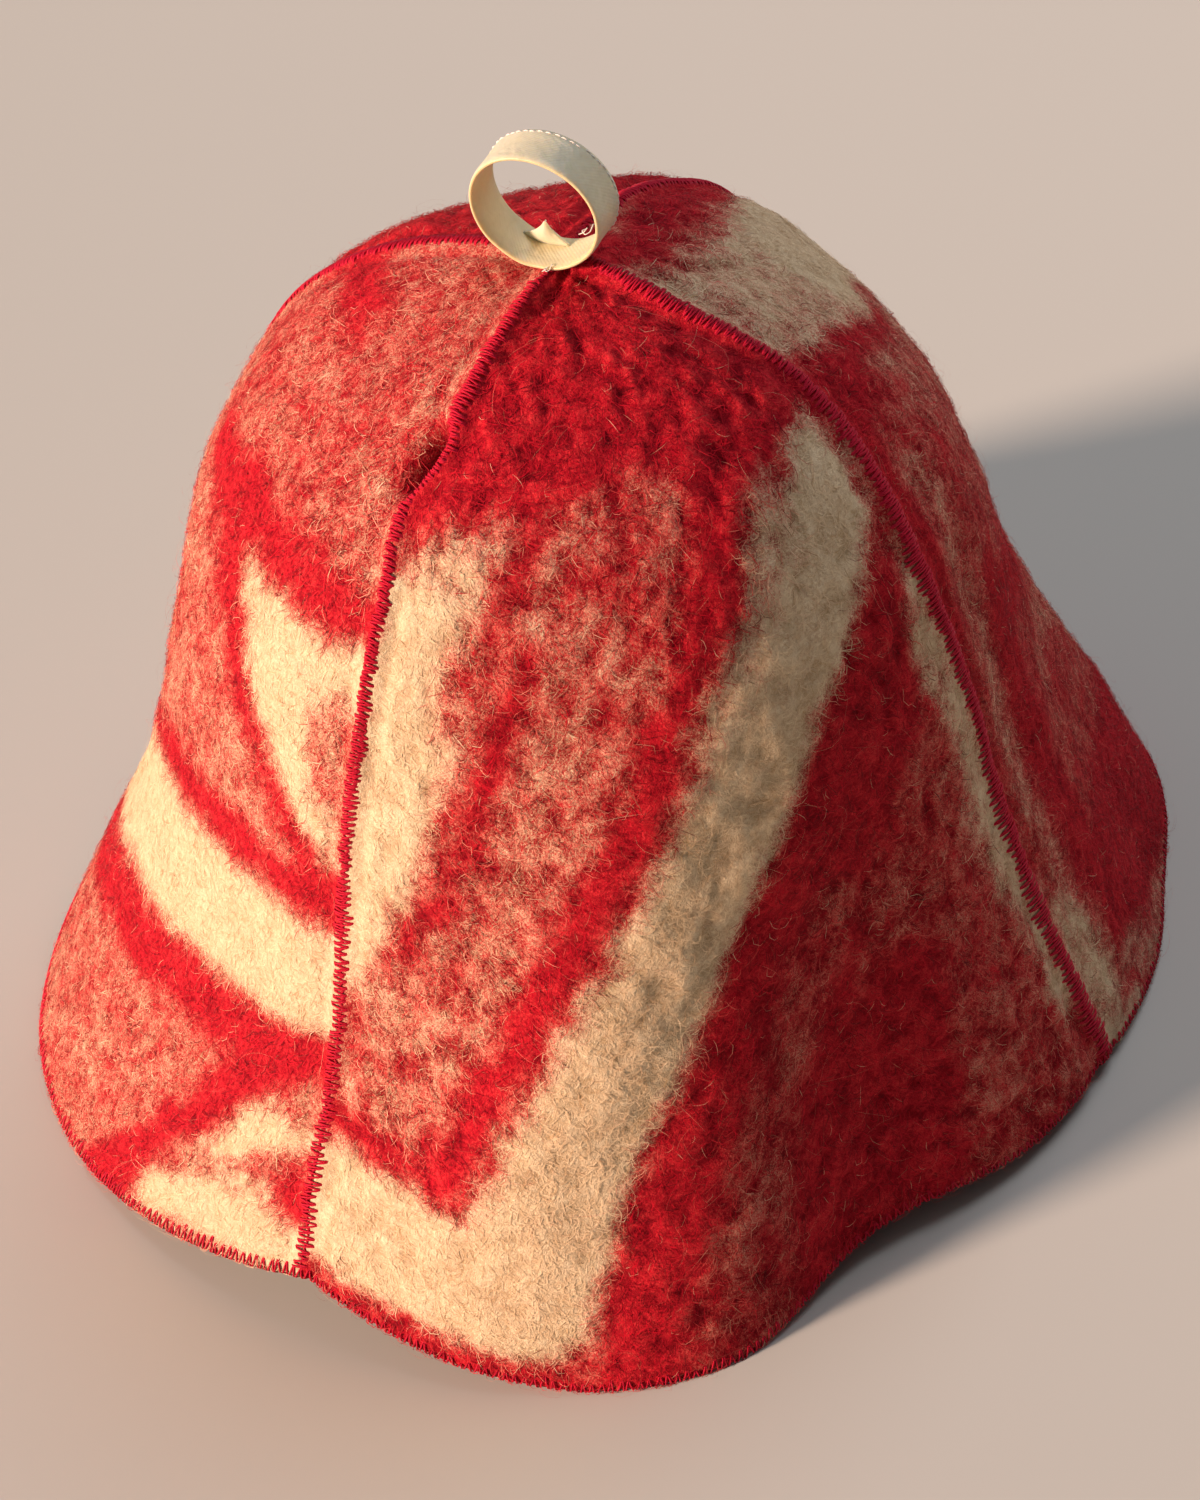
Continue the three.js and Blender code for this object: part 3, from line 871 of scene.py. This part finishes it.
# Nap: short fibres brushed up from the wool, which lie in tufts.
nap = {
    "fibres": 30000,  # on each gore
    "segments": 3,
    "shortest": 2.5,
    "longest": 6.5,
    "width": 0.14,  # four or five real fibres wide, to show; the strays are as fine as real ones
    "spread": 42,  # degrees that a fibre strays from its tuft
    "tuftSpread": 75,  # degrees that a tuft strays from straight down
    "tuftSize": 4.5,
    "curl": 26,  # degrees a millimetre
    "lift": 0.75,
    "mottle": 0.3,  # how far a marl fibre's colour strays
    "deep": 0.18,  # painted shade: how much redder a fibre is in the pits
    "pale": 0.035,  # the share of fibres that have lost some dye
    "faded": 0.5,  # and what they have kept of it
    "twist": 14,
    "soft": 0.85,  # how far a fibre shades as the wool under it does
    "seamClear": 2.3,
    "hemClear": 1.2,
}
# longer, thinner fibres that stand off the nap; many are paler, partly paler fibres and partly a painted
# highlight for fibres catching the light
strays = {**nap, "fibres": 1500, "segments": 6, "shortest": 6.0, "longest": 16.0, "width": 0.035,
          "spread": 80, "tuftSpread": 50, "tuftSize": 9.0, "curl": 12, "lift": 2.4, "mottle": 0.5,
          "deep": 0.0, "pale": 0.6, "faded": 0.65, "soft": 0.3, "seamClear": 1.5, "hemClear": 0.5}
fibre = {
    "spare": 1.12,  # roots sown for each fibre kept
    "creaseClear": 1.2,  # fibres are pressed flat in creases deeper than this
    "tone": 0.6,
    "toneSpread": 0.36,
    "creamTone": 0.08,  # undyed fibres are brighter by this
    "creamSpread": 0.1,  # and more alike by this
    # painted shade: a fibre in a pit is duller by this
    "pitShadeTone": 0.5,
    "leastLift": 0.35,
    "liftSpread": 1.1,
    "creamLift": 0.5,  # undyed fibres lie flatter
    "sunk": 0.15,  # how deep the roots are
    "twistLimit": 30,
    "lowest": 0.05,
}


def fibreTemplate(segments):
    # a flat ribbon, y from 0 to 1, pointed at both ends
    bm = bmesh.new()
    bmesh.ops.create_grid(bm, x_segments=1, y_segments=segments, size=0.5)
    for end in (-0.5, 0.5):
        pair = [vertex for vertex in bm.verts if abs(vertex.co.y - end) < 1e-4]
        bmesh.ops.pointmerge(bm, verts=pair, merge_co=(0, end, 0))
    template = templateOf(bm)
    template[0][:, :2] += 0.5
    return template


def rootPlaces(name, count, chance):
    # roots spread evenly over a gore's area
    gore = gores[name]
    found = []
    most = (perDegree * perUp).max()
    while sum(len(part[0]) for part in found) < count:
        up = chance.random(count * 3) * 0.992
        left = seamAt(gore["left"], up)
        right = seamAt(gore["right"], up) + gore["turn"]
        azimuth = left + (right - left) * chance.random(len(up))
        density = sample(perDegree, azimuth, up) * sample(perUp, azimuth, up) * (right - left) / 100
        keep = chance.random(len(up)) * most < density
        found.append((azimuth[keep], up[keep]))
    azimuth = np.concatenate([part[0] for part in found])[:count]
    up = np.concatenate([part[1] for part in found])[:count]
    return azimuth, up


def unit(vectors):
    return vectors / np.maximum(np.linalg.norm(vectors, axis=-1, keepdims=True), 1e-9)


def fibrePlaces(name, kind, chance):
    # each fibre's vertices, normals, share of red and tone
    azimuth, up = rootPlaces(name, int(kind["fibres"] * fibre["spare"]), chance)
    clear = sample(fromSeam, azimuth, up) > kind["seamClear"]
    clear &= up * sample(perUp, azimuth, up) > kind["hemClear"]
    clear &= sample(creaseGrid, azimuth, up) < fibre["creaseClear"]
    azimuth = azimuth[clear][:kind["fibres"]]
    up = up[clear][:kind["fibres"]]
    count = len(azimuth)
    roots = sample(surface, azimuth, up)
    share = redShare(name, azimuth, up)
    mixed = 4 * share * (1 - share)
    share = np.clip(share + kind["mottle"] * mixed * chance.standard_normal(count), 0, 1)
    calm = creamCalm * (1 - share)
    loft = sample(clumpGrid, azimuth, up) * (1 - calm)
    # painted shade: redder in the pits
    share = np.clip(share - kind["deep"] * mixed * loft, 0, 1)
    share = share * np.where(chance.random(count) < kind["pale"], kind["faded"], 1.0)
    undyed = 1 - share
    toneSpread = fibre["toneSpread"] - fibre["creamSpread"] * undyed
    tone = fibre["tone"] + fibre["creamTone"] * undyed + toneSpread * chance.standard_normal(count)
    # painted shade: duller in the pits
    tone = np.clip(tone + fibre["pitShadeTone"] * loft, 0, 1)
    heading = kind["tuftSpread"] * grainNoise(roots, kind["tuftSize"])
    heading = np.radians(heading + kind["spread"] * chance.standard_normal(count))
    turn = np.radians(kind["curl"] * chance.standard_normal(count))
    length = kind["shortest"] + (kind["longest"] - kind["shortest"]) * chance.random(count) ** 1.4
    lift = kind["lift"] * (fibre["leastLift"] + fibre["liftSpread"] * chance.random(count))
    lift = lift * (fibre["creamLift"] + (1 - fibre["creamLift"]) * share)
    twist = np.clip(kind["twist"] * chance.standard_normal(count), -fibre["twistLimit"], fibre["twistLimit"])
    twist = np.radians(twist)
    step = length / kind["segments"]
    line = []
    outward = []
    for k in range(kind["segments"] + 1):
        flattened = np.clip(sample(fromSeam, azimuth, up) / 5 - 0.3, 0.05, 1)
        arch = np.sin(np.pi * min(0.8 * k / kind["segments"], 1)) ** 0.8
        height = sample(feltGrid, azimuth, up) - calm * sample(clumpGrid, azimuth, up) - fibre["sunk"]
        height = height + lift * flattened * arch
        outward.append(sample(normals, azimuth, up))
        line.append(sample(surface, azimuth, up) + outward[-1] * height[:, None])
        azimuth = azimuth + np.sin(heading) * step / np.maximum(sample(perDegree, azimuth, up), 0.1)
        up = np.clip(up - np.cos(heading) * step / sample(perUp, azimuth, up), 0.001, 0.999)
        heading = heading + turn * step
    line = np.stack(line, axis=1)
    outward = np.stack(outward, axis=1)
    along = unit(np.gradient(line, axis=1))
    side = unit(np.cross(along, outward))
    side = side * np.cos(twist)[:, None, None] + np.cross(along, side) * np.sin(twist)[:, None, None]
    facing = np.cross(side, along)
    template = fibreTemplate(kind["segments"])
    points = template[0]
    row = np.rint(points[:, 1] * kind["segments"]).astype(int)
    half = (points[:, 0] - 0.5) * kind["width"] * (1.15 - 0.45 * points[:, 1])
    places = line[:, row] + side[:, row] * half[None, :, None]
    places[..., 2] = np.maximum(places[..., 2], fibre["lowest"])
    shading = unit(outward[:, row] * kind["soft"] + facing[:, row] * (1 - kind["soft"]))
    return template, places, shading, share, tone


def makeNap(name, label, kind, seed):
    chance = np.random.default_rng(seed)
    template, places, shading, share, tone = fibrePlaces(name, kind, chance)
    points = template[0]
    title = "gore_" + name + "_" + label
    mesh, corners = joinedCopies(title, template, places)
    storeValues(mesh, "redShare", np.repeat(share, len(points)))
    storeValues(mesh, "tone", np.repeat(tone, len(points)))
    # a cell of the UV map for each fibre
    cells = int(math.ceil(math.sqrt(len(places))))
    cell = np.stack([np.arange(len(places)) % cells, np.arange(len(places)) // cells], axis=-1)
    spots = (cell[:, None, :] + 0.15 + 0.7 * points[None, :, :2]) / cells
    storePlaces(mesh, "OFBake", spots.reshape(-1, 2)[corners])
    mesh.normals_split_custom_set_from_vertices(shading.reshape(-1, 3).tolist())
    return newPiece(title, mesh, napWool)


for number, name in enumerate(gores):
    makeNap(name, "nap", nap, 100 + number)
    makeNap(name, "strays", strays, 200 + number)
print("nap")

# Stitching.
stitch = {
    "threadRadius": 0.25,  # a little thicker than real sewing thread, to show
    "sides": 5,
    "rings": 4,
    "pitchLow": 0.98,  # along the seam from one stroke to the next, near the hem
    "pitchHigh": 0.72,  # and towards the crown
    "widthLow": 5.6,
    "widthHigh": 4.4,
    "uneven": 0.12,  # how far the width and the line stray
    "unevenEvery": 12.0,
    "jitter": 0.4,
    "alongJitter": 0.25,
    "wander": 3,  # millimetres that the line strays for each step of uneven
    "arch": 0.42,
    "bury": 0.6,
    "flat": 0.85,  # how round the pressed thread still is
    "from": 0.012,  # up, where a seam starts
    "to": 0.985,
    "pitchChange": (0.3, 0.3),  # up where the pitch starts to change, and over how much
    "widthChange": (0.2, 0.5),
    "taper": (0.06, 0.35),  # the last stretch narrows to this share
}
# the looper thread that fills the middle of the seam, under the zigzag
looper = {**stitch, "threadRadius": 0.3, "rings": 3, "pitchLow": 1.05, "pitchHigh": 0.8, "widthLow": 1.5,
          "widthHigh": 2.8, "uneven": 0.2, "jitter": 0.2, "arch": 0.12, "bury": 0.3}


def strokeTemplate(rings, sides):
    # one stroke of thread: a capped tube, z from 0 to 1
    bm = bmesh.new()
    bmesh.ops.create_cone(bm, cap_ends=True, segments=sides, radius1=1, radius2=1, depth=1)
    upright = [edge for edge in bm.edges if abs(edge.verts[0].co.z - edge.verts[1].co.z) > 0.5]
    bmesh.ops.subdivide_edges(bm, edges=upright, cuts=rings - 1, use_grid_fill=True)
    template = templateOf(bm)
    template[0][:, 2] += 0.5
    return template


def threadPiece(title, template, places):
    points = template[0]
    mesh, corners = joinedCopies(title, template, places)
    round01 = np.arctan2(points[:, 1], points[:, 0]) / (2 * np.pi) + 0.5
    spots = np.stack([points[:, 2] * 4, round01], axis=-1)
    storePlaces(mesh, "threadPlace", np.tile(spots, (len(places), 1))[corners])
    return newPiece(title, mesh, sewingThread)


def strokes(title, starts, ends, kind):
    # thread tubes from starts to ends, each (azimuth, up, height off the wool)
    template = strokeTemplate(kind["rings"], kind["sides"])
    points = template[0]
    share = points[:, 2][None, :]
    spots = starts[:, None, :] * (1 - share[..., None]) + ends[:, None, :] * share[..., None]
    hump = 1 - (2 * share - 1) ** 4
    height = spots[..., 2] + sample(feltGrid, spots[..., 0], spots[..., 1])
    height = height + kind["arch"] * hump - kind["bury"] * (2 * np.abs(share - 0.5)) ** 6
    outward = sample(normals, spots[..., 0], spots[..., 1])
    centre = sample(surface, spots[..., 0], spots[..., 1]) + outward * height[..., None]
    first = sample(surface, starts[:, 0], starts[:, 1])
    last = sample(surface, ends[:, 0], ends[:, 1])
    side = unit(np.cross(unit(last - first)[:, None, :], outward))
    radius = kind["threadRadius"]
    offset = side * points[None, :, 0, None] * radius
    offset = offset + outward * points[None, :, 1, None] * radius * kind["flat"]
    return threadPiece(title, template, centre + offset)


def changing(kind, size, up):
    # a size that changes from its low value to its high one on the way up
    start, over = kind[size + "Change"]
    low = kind[size + "Low"]
    return low + (kind[size + "High"] - low) * np.clip((up - start) / over, 0, 1)


def seamStitches(name, label, kind, seed):
    chance = np.random.default_rng(seed)
    ups = np.linspace(kind["from"], kind["to"], 2001)
    middle = seamAt(name, ups)
    if name == "backLeft":
        middle = middle + 360
    steps = np.linalg.norm(np.diff(sample(surface, middle, ups), axis=0), axis=-1)
    lengths = np.concatenate([[0], np.cumsum(steps)])
    pitch = changing(kind, "pitch", ups[1:])
    turns = np.concatenate([[0], np.cumsum(steps / pitch)])
    count = int(turns[-1])
    up = np.interp(np.arange(count + 1) + kind["alongJitter"] * chance.standard_normal(count + 1), turns, ups)
    knots = int(lengths[-1] / kind["unevenEvery"]) + 2
    knotUps = np.linspace(0, 1, knots)
    swelling = np.interp(up, knotUps, chance.standard_normal(knots))
    straying = np.interp(up, knotUps, chance.standard_normal(knots))
    taper = np.clip((1 - up) / kind["taper"][0], kind["taper"][1], 1)
    width = changing(kind, "width", up) * seamWidths[name] * (1 + kind["uneven"] * swelling) * taper
    off = (np.arange(count + 1) % 2 - 0.5) * width + kind["jitter"] * chance.standard_normal(count + 1)
    off = off + kind["uneven"] * kind["wander"] * straying
    azimuth = np.interp(up, ups, middle)
    azimuth = azimuth + off / np.maximum(sample(perDegree, azimuth, up), 0.1)
    spots = np.stack([azimuth, up, np.zeros(count + 1)], axis=-1)
    return strokes("seam_" + name + "_" + label, spots[:-1], spots[1:], kind)


for number, name in enumerate(seamAzimuths):
    seamStitches(name, "looper", looper, 300 + number)
    seamStitches(name, "zigzag", stitch, 300 + number)
print("seam stitches")

hemStitch = {
    "threadRadius": 0.26,
    "sides": 5,
    "rings": 6,
    "pitch": 1.12,
    # how high it climbs, as (azimuth, height)
    "heights": [(-135, 5.0), (-48, 5.0), (-42, 3.3), (130, 3.3), (136, 5.0), (225, 5.0)],
    "jitter": 0.45,
    "alongJitter": 0.2,
    "turnShare": 0.3,  # of a stroke, for going round the edge
    "turnHeight": 0.4,
    "arch": 0.22,
    "bury": 0.8,
    "droop": 0.35,
    "lowest": 0.02,
}


def hemStitches(seed):
    # zigzag over the raw edge: each stroke climbs the face from under the edge, then comes back
    chance = np.random.default_rng(seed)
    azimuths = np.linspace(-135, 225, 3601)
    steps = np.linalg.norm(np.diff(sample(surface, azimuths, np.zeros_like(azimuths)), axis=0), axis=-1)
    lengths = np.concatenate([[0], np.cumsum(steps)])
    count = int(lengths[-1] / hemStitch["pitch"]) // 2 * 2
    stray = hemStitch["alongJitter"] * chance.standard_normal(count + 1)
    at = (np.arange(count + 1) + stray) * lengths[-1] / count
    azimuth = np.interp(at, lengths, azimuths)
    high = np.arange(count + 1) % 2
    climb = np.interp(azimuth, *zip(*hemStitch["heights"]))
    climb = climb + hemStitch["jitter"] * chance.standard_normal(count + 1)
    template = strokeTemplate(hemStitch["rings"], hemStitch["sides"])
    points = template[0]
    share = points[:, 2][None, :]
    start = azimuth[:-1, None]
    end = azimuth[1:, None]
    spot = start + (end - start) * share
    rising = np.where(high[:-1, None] == 0, share, 1 - share)
    top = np.where(high[:-1] == 1, climb[:-1], climb[1:])[:, None]
    # round the edge first, then up the face
    turned = hemStitch["turnShare"]
    turn = np.clip(rising / turned, 0, 1)
    face = np.clip((rising - turned) / (1 - turned), 0, 1)
    up = hemStitch["turnHeight"] * turn + (top - hemStitch["turnHeight"]) * face
    perUpHere = sample(perUp, spot, np.zeros_like(spot))
    outward = sample(normals, spot, up / perUpHere)
    height = sample(feltGrid, spot, up / perUpHere) + hemStitch["arch"] * np.sin(np.pi * face) ** 0.5
    height = height - bell["woolThickness"] * 0.5 * (1 - turn) - hemStitch["bury"] * face**8
    centre = sample(surface, spot, up / perUpHere) + outward * height[..., None]
    centre[..., 2] -= hemStitch["droop"] * np.sin(np.pi * 0.5 * (1 - turn))
    side = unit(np.cross((0, 0, 1), outward))
    radius = hemStitch["threadRadius"]
    offset = side * points[None, :, 0, None] * radius + outward * points[None, :, 1, None] * radius
    places = centre + offset
    places[..., 2] = np.maximum(places[..., 2], hemStitch["lowest"])
    return threadPiece("hem_zigzag", template, places)


hemStitches(400)
print("hem stitches")

# Hanging loop.
loopMiddle = np.array((loopLow + loopHigh) / 2) / mm


def loopPlace(angle, across, out):
    # a place on the loop: degrees round it, millimetres across the tape and out from its middle
    a = np.radians(angle)
    half = loop["tapeThickness"] / 2
    pucker = loop["pucker"] * np.sin(9 * a) * np.exp(-(((angle + 105) / 35) ** 2))
    swell = loop["swell"] * np.sin(3 * a + 1) + pucker
    x = np.cos(a) * (loop["width"] / 2 - half + swell + out)
    z = np.sin(a) * (loop["height"] / 2 - half + swell + out)
    turn = np.radians(-loop["turn"])
    spunX = x * np.cos(turn) - across * np.sin(turn)
    spunY = x * np.sin(turn) + across * np.cos(turn)
    return np.stack([spunX, spunY, z], axis=-1) + loopMiddle


def makeLoop():
    bm = bmesh.new()
    # the tape's section: a flat oval with folded edges
    bmesh.ops.create_circle(bm, cap_ends=False, segments=28, radius=1)
    for vertex in bm.verts:
        flat = math.copysign(abs(vertex.co.x) ** 0.55, vertex.co.x)
        thick = math.copysign(abs(vertex.co.y) ** 0.7, vertex.co.y) * (1 - 0.25 * math.cos(flat * 2.6))
        vertex.co = Vector((10 + thick, flat, 0))
    bmesh.ops.spin(bm, geom=bm.verts[:] + bm.edges[:], cent=(0, 0, 0), axis=(0, 1, 0), dvec=(0, 0, 0),
                   angle=2 * math.pi, steps=loop["around"], use_merge=True, use_duplicate=False)
    bmesh.ops.remove_doubles(bm, verts=bm.verts, dist=1e-5)
    bmesh.ops.recalc_face_normals(bm, faces=bm.faces)
    uv = bm.loops.layers.uv.new("tapePlace")
    for face in bm.faces:
        middle = face.calc_center_median()
        first = math.degrees(math.atan2(middle.z, middle.x))
        for corner in face.loops:
            co = corner.vert.co
            angle = math.degrees(math.atan2(co.z, co.x))
            angle = first + (angle - first + 180) % 360 - 180
            corner[uv].uv = (math.radians(angle) * loop["width"] / 2, co.y * loop["tapeWidth"] / 2)
    innerLayer = bm.verts.layers.float.new("innerSide")
    for vertex in bm.verts:
        co = vertex.co
        angle = math.degrees(math.atan2(co.z, co.x))
        out = (math.hypot(co.x, co.z) - 10) * loop["tapeThickness"] / 2
        vertex[innerLayer] = 1.0 if out < 0 else 0.0
        vertex.co = Vector(loopPlace(angle, co.y * loop["tapeWidth"] / 2, out)) * mm
    piece = newPiece("hanging_loop_tape", meshFrom(bm, "hanging_loop_tape"), satinTape)
    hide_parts("hanging_loop")
    return piece


tapeEnd = {
    "width": 12.5,
    "height": 7.2,
    "angle": -99,  # degrees round the loop
    "across": 2.2,
    "lean": -1.2,
    "thickness": 0.7,
}


def makeTapeEnd():
    # the tape's folded end, which stands up as a small peak inside the bottom of the loop
    bm = bmesh.new()
    bmesh.ops.create_grid(bm, x_segments=14, y_segments=8, size=0.5)
    uv = bm.loops.layers.uv.new("tapePlace")
    for face in bm.faces:
        for corner in face.loops:
            corner[uv].uv = corner.vert.co.x * tapeEnd["width"] / 2, corner.vert.co.y * tapeEnd["height"]
    for vertex in bm.verts:
        along = vertex.co.x
        rise = vertex.co.y + 0.5
        reach = along * tapeEnd["width"] * (1 - 0.93 * rise)
        angle = tapeEnd["angle"] + math.degrees(reach / (loop["width"] / 2))
        bulge = 0.9 * math.cos(math.pi * along) * math.sin(math.pi * rise)
        across = tapeEnd["across"] + tapeEnd["lean"] * rise**1.5 - bulge
        vertex.co = Vector(loopPlace(angle, across, -0.3 - tapeEnd["height"] * rise)) * mm
    bm.normal_update()
    bmesh.ops.solidify(bm, geom=bm.faces[:], thickness=tapeEnd["thickness"] * mm)
    bmesh.ops.recalc_face_normals(bm, faces=bm.faces)
    return newPiece("hanging_loop_fold", meshFrom(bm, "hanging_loop_fold"), satinTape)


topstitch = {
    "radius": 0.17,
    "pitch": 1.8,
    "length": 1.6,
    "inset": 0.9,  # from the tape's far edge
    "from": -60,
    "to": 190,
    "sides": 6,
    "rings": 4,
}


def makeTopstitches(seed):
    chance = np.random.default_rng(seed)
    template = strokeTemplate(topstitch["rings"], topstitch["sides"])
    points = template[0]
    degree = 180 / (math.pi * loop["width"] / 2)  # degrees round the loop in a millimetre
    starts = np.arange(topstitch["from"], topstitch["to"], topstitch["pitch"] * degree)
    starts = starts + 0.8 * chance.standard_normal(len(starts))
    across = loop["tapeWidth"] / 2 - topstitch["inset"] + 0.12 * chance.standard_normal(len(starts))
    share = points[:, 2][None, :]
    angle = starts[:, None] + share * topstitch["length"] * degree
    lift = loop["tapeThickness"] / 2 - 0.25 + 0.3 * np.sin(np.pi * share)
    radius = topstitch["radius"]
    across = across[:, None] + points[None, :, 0] * radius
    places = loopPlace(angle, across, lift + points[None, :, 1] * radius)
    piece = threadPiece("hanging_loop_topstitch", template, places)
    piece.data.materials[0] = topstitchThread
    return piece


knot = {
    "radius": 0.12,
    "points": [(-1.6, 0.5, 0.3), (-0.4, -0.6, 1.3), (0.9, 0.3, 1.9), (0.7, 1.2, 0.9), (-0.7, 0.7, 1.1),
               (-0.2, -0.9, 0.6), (1.4, -0.7, 1.1), (2.6, 0.4, 2.4), (3.1, 1.5, 1.6)],
    "sides": 6,
}


def makeKnot(name, middle, size):
    # the sewing thread's tied-off end, where the loop meets the crown
    route = np.array(knot["points"]) * size + middle
    spots = np.linspace(0, len(route) - 1, 8 * len(route))
    bent = np.stack([np.interp(spots, np.arange(len(route)), route[:, axis]) for axis in range(3)], axis=-1)
    for _ in range(6):
        bent[1:-1] = (bent[:-2] + 2 * bent[1:-1] + bent[2:]) / 4
    starts = bent[:-1]
    ends = bent[1:] + (bent[1:] - bent[:-1]) * 0.1
    template = strokeTemplate(1, knot["sides"])
    points = template[0]
    along = unit(ends - starts)
    side = unit(np.cross(along, (0.3, 0.2, 1.0)))
    over = np.cross(side, along)
    share = points[None, :, 2, None]
    places = starts[:, None] * (1 - share) + ends[:, None] * share
    offset = side[:, None] * points[None, :, 0, None] + over[:, None] * points[None, :, 1, None]
    places = places + offset * knot["radius"]
    piece = threadPiece(name, template, places)
    piece.data.materials[0] = topstitchThread
    return piece


tape = makeLoop()
tapeExtras = [makeTapeEnd(), makeTopstitches(500)]
tapeExtras.append(makeKnot("hanging_loop_knot", loopPlace(-84, -6.2, 0.2), 0.55))
tapeExtras.append(makeKnot("hanging_loop_thread_end", loopPlace(-66, 5.5, -0.8), 0.8))
print("hanging loop")

# Floor, light and camera, in metres and degrees.
room = {
    "floorSize": 12.0,
    "floorColour": "#c8cdc9",
    "keyStrength": 6.7,
    "keyAzimuth": -81,
    "keyElevation": 17,
    "keySpread": 9,  # degrees across, for soft shadow edges
    "keyColour": "#ffd5bc",
    "softboxPower": 16.0,
    "softboxSize": 1.2,
    "softboxPlace": (0.8, 0.5, 1.9),
    "softboxColour": "#f4f1f6",
    "lampAim": 0.1,  # the height that the softbox is aimed at
    "skyHigh": 0.17,  # strength overhead
    "skyLow": 0.5,  # and at the horizon
    "skyDark": (0.57, -0.82, 0.0),  # the side that a black screen keeps darker
    "skyDarkTo": 0.3,
    "skyLowUpTo": 0.30,  # sine of the elevation where the horizon's glow ends
    "haze": 0.4,  # and a brighter haze right above the floor
    "hazeUpTo": 0.1,
    "skyColour": "#f6e6e4",
}


def makeFloor():
    bm = bmesh.new()
    bmesh.ops.create_grid(bm, x_segments=1, y_segments=1, size=room["floorSize"])
    floor = newObject("floor", meshFrom(bm, "floor"))
    # Smooth matt plaster: no shine and no grain, so that nothing draws the eye from the hat.
    material, tree = newMaterial("palePlaster")
    shader = addNode(tree, "BsdfPrincipled", {"Base Color": linearColour(room["floorColour"]),
                                              "Roughness": 0.9})
    addNode(tree, "OutputMaterial", None, {"Surface": shader.outputs[0]})
    floor.data.materials.append(material)


def lookFrom(azimuth, elevation):
    a = math.radians(azimuth)
    e = math.radians(elevation)
    return Vector((math.sin(a) * math.cos(e), -math.cos(a) * math.cos(e), math.sin(e)))


def areaLight(name, place, size, power, colour):
    light = bpy.data.lights.new(name, "AREA")
    light.shape = "DISK"
    light.size = size
    light.energy = power
    light.color = linearColour(colour)[:3]
    lamp = newObject(name, light)
    lamp.location = place
    lamp.rotation_euler = (place - Vector((0, 0, room["lampAim"]))).to_track_quat("Z", "Y").to_euler()


def makeLights():
    light = bpy.data.lights.new("key", "SUN")
    light.energy = room["keyStrength"]
    light.angle = math.radians(room["keySpread"])
    light.color = linearColour(room["keyColour"])[:3]
    key = newObject("key", light)
    key.rotation_euler = lookFrom(room["keyAzimuth"], room["keyElevation"]).to_track_quat("Z", "Y").to_euler()
    areaLight("softbox", Vector(room["softboxPlace"]), room["softboxSize"], room["softboxPower"],
              room["softboxColour"])
    world = bpy.data.worlds.new("studio")
    world.use_nodes = True
    background = world.node_tree.nodes["Background"]
    background.inputs["Color"].default_value = linearColour(room["skyColour"])
    direction = addNode(world.node_tree, "TexCoord").outputs["Generated"]
    high = addNode(world.node_tree, "SeparateXYZ", None, {0: direction}).outputs["Z"]
    glow = addNode(world.node_tree, "MapRange",
                   {"interpolation_type": "SMOOTHSTEP", "From Min": 0.02, "From Max": room["skyLowUpTo"],
                    "To Min": room["skyLow"], "To Max": room["skyHigh"]}, {"Value": high}).outputs["Result"]
    haze = addNode(world.node_tree, "MapRange",
                   {"interpolation_type": "SMOOTHSTEP", "From Min": 0.0, "From Max": room["hazeUpTo"],
                    "To Min": room["haze"], "To Max": 0.0}, {"Value": high}).outputs["Result"]
    hazy = addNode(world.node_tree, "Math", {"operation": "ADD"}, {0: glow, 1: haze}).outputs[0]
    towards = addNode(world.node_tree, "VectorMath", {"operation": "DOT_PRODUCT", 1: room["skyDark"]},
                      {0: direction}).outputs["Value"]
    screen = addNode(world.node_tree, "MapRange",
                     {"interpolation_type": "SMOOTHSTEP", "From Min": 0.0, "From Max": 0.7,
                      "To Min": 1.0, "To Max": room["skyDarkTo"]}, {"Value": towards}).outputs["Result"]
    strength = addNode(world.node_tree, "Math", {"operation": "MULTIPLY"}, {0: hazy, 1: screen}).outputs[0]
    world.node_tree.links.new(strength, background.inputs["Strength"])
    bpy.context.scene.world = world


view = {
    "azimuth": -8.986,
    "elevation": 42.495,
    "roll": 8.965,
    "distance": 0.8613,
    "lens": 87.7,
    "shiftX": -0.0205,
    "shiftY": -0.0578,
    "target": (pointX * mm, pointY * mm, 0.1116),
}


def makeCamera():
    data = bpy.data.cameras.new("camera")
    data.lens = view["lens"]
    data.sensor_width = 36
    data.shift_x = view["shiftX"]
    data.shift_y = view["shiftY"]
    data.clip_start = 0.05
    camera = newObject("camera", data)
    away = lookFrom(view["azimuth"], view["elevation"])
    across = Vector((math.cos(math.radians(view["azimuth"])), math.sin(math.radians(view["azimuth"])), 0))
    upward = away.cross(across)
    turn = Matrix((across, upward, away)).transposed()
    turn = turn @ Matrix.Rotation(math.radians(-view["roll"]), 3, "Z")
    camera.matrix_world = Matrix.Translation(Vector(view["target"]) + away * view["distance"]) @ turn.to_4x4()
    bpy.context.scene.camera = camera


makeFloor()
makeLights()
makeCamera()
bpy.context.scene.view_settings.view_transform = "Standard"
print("floor, light and camera")

# Each sheet's flat area in square metres.
for name, piece in walls.items():
    print("gore", name, "area", sum(face.area for face in piece.data.polygons) / 2)
print("tape area", sum(face.area for face in tape.data.polygons) / 2)

triangles = {o.name: sum(len(p.vertices) - 2 for p in o.data.polygons) for o in bpy.data.objects
             if o.type == "MESH" and not o.hide_render}
print("triangles", triangles, sum(triangles.values()))
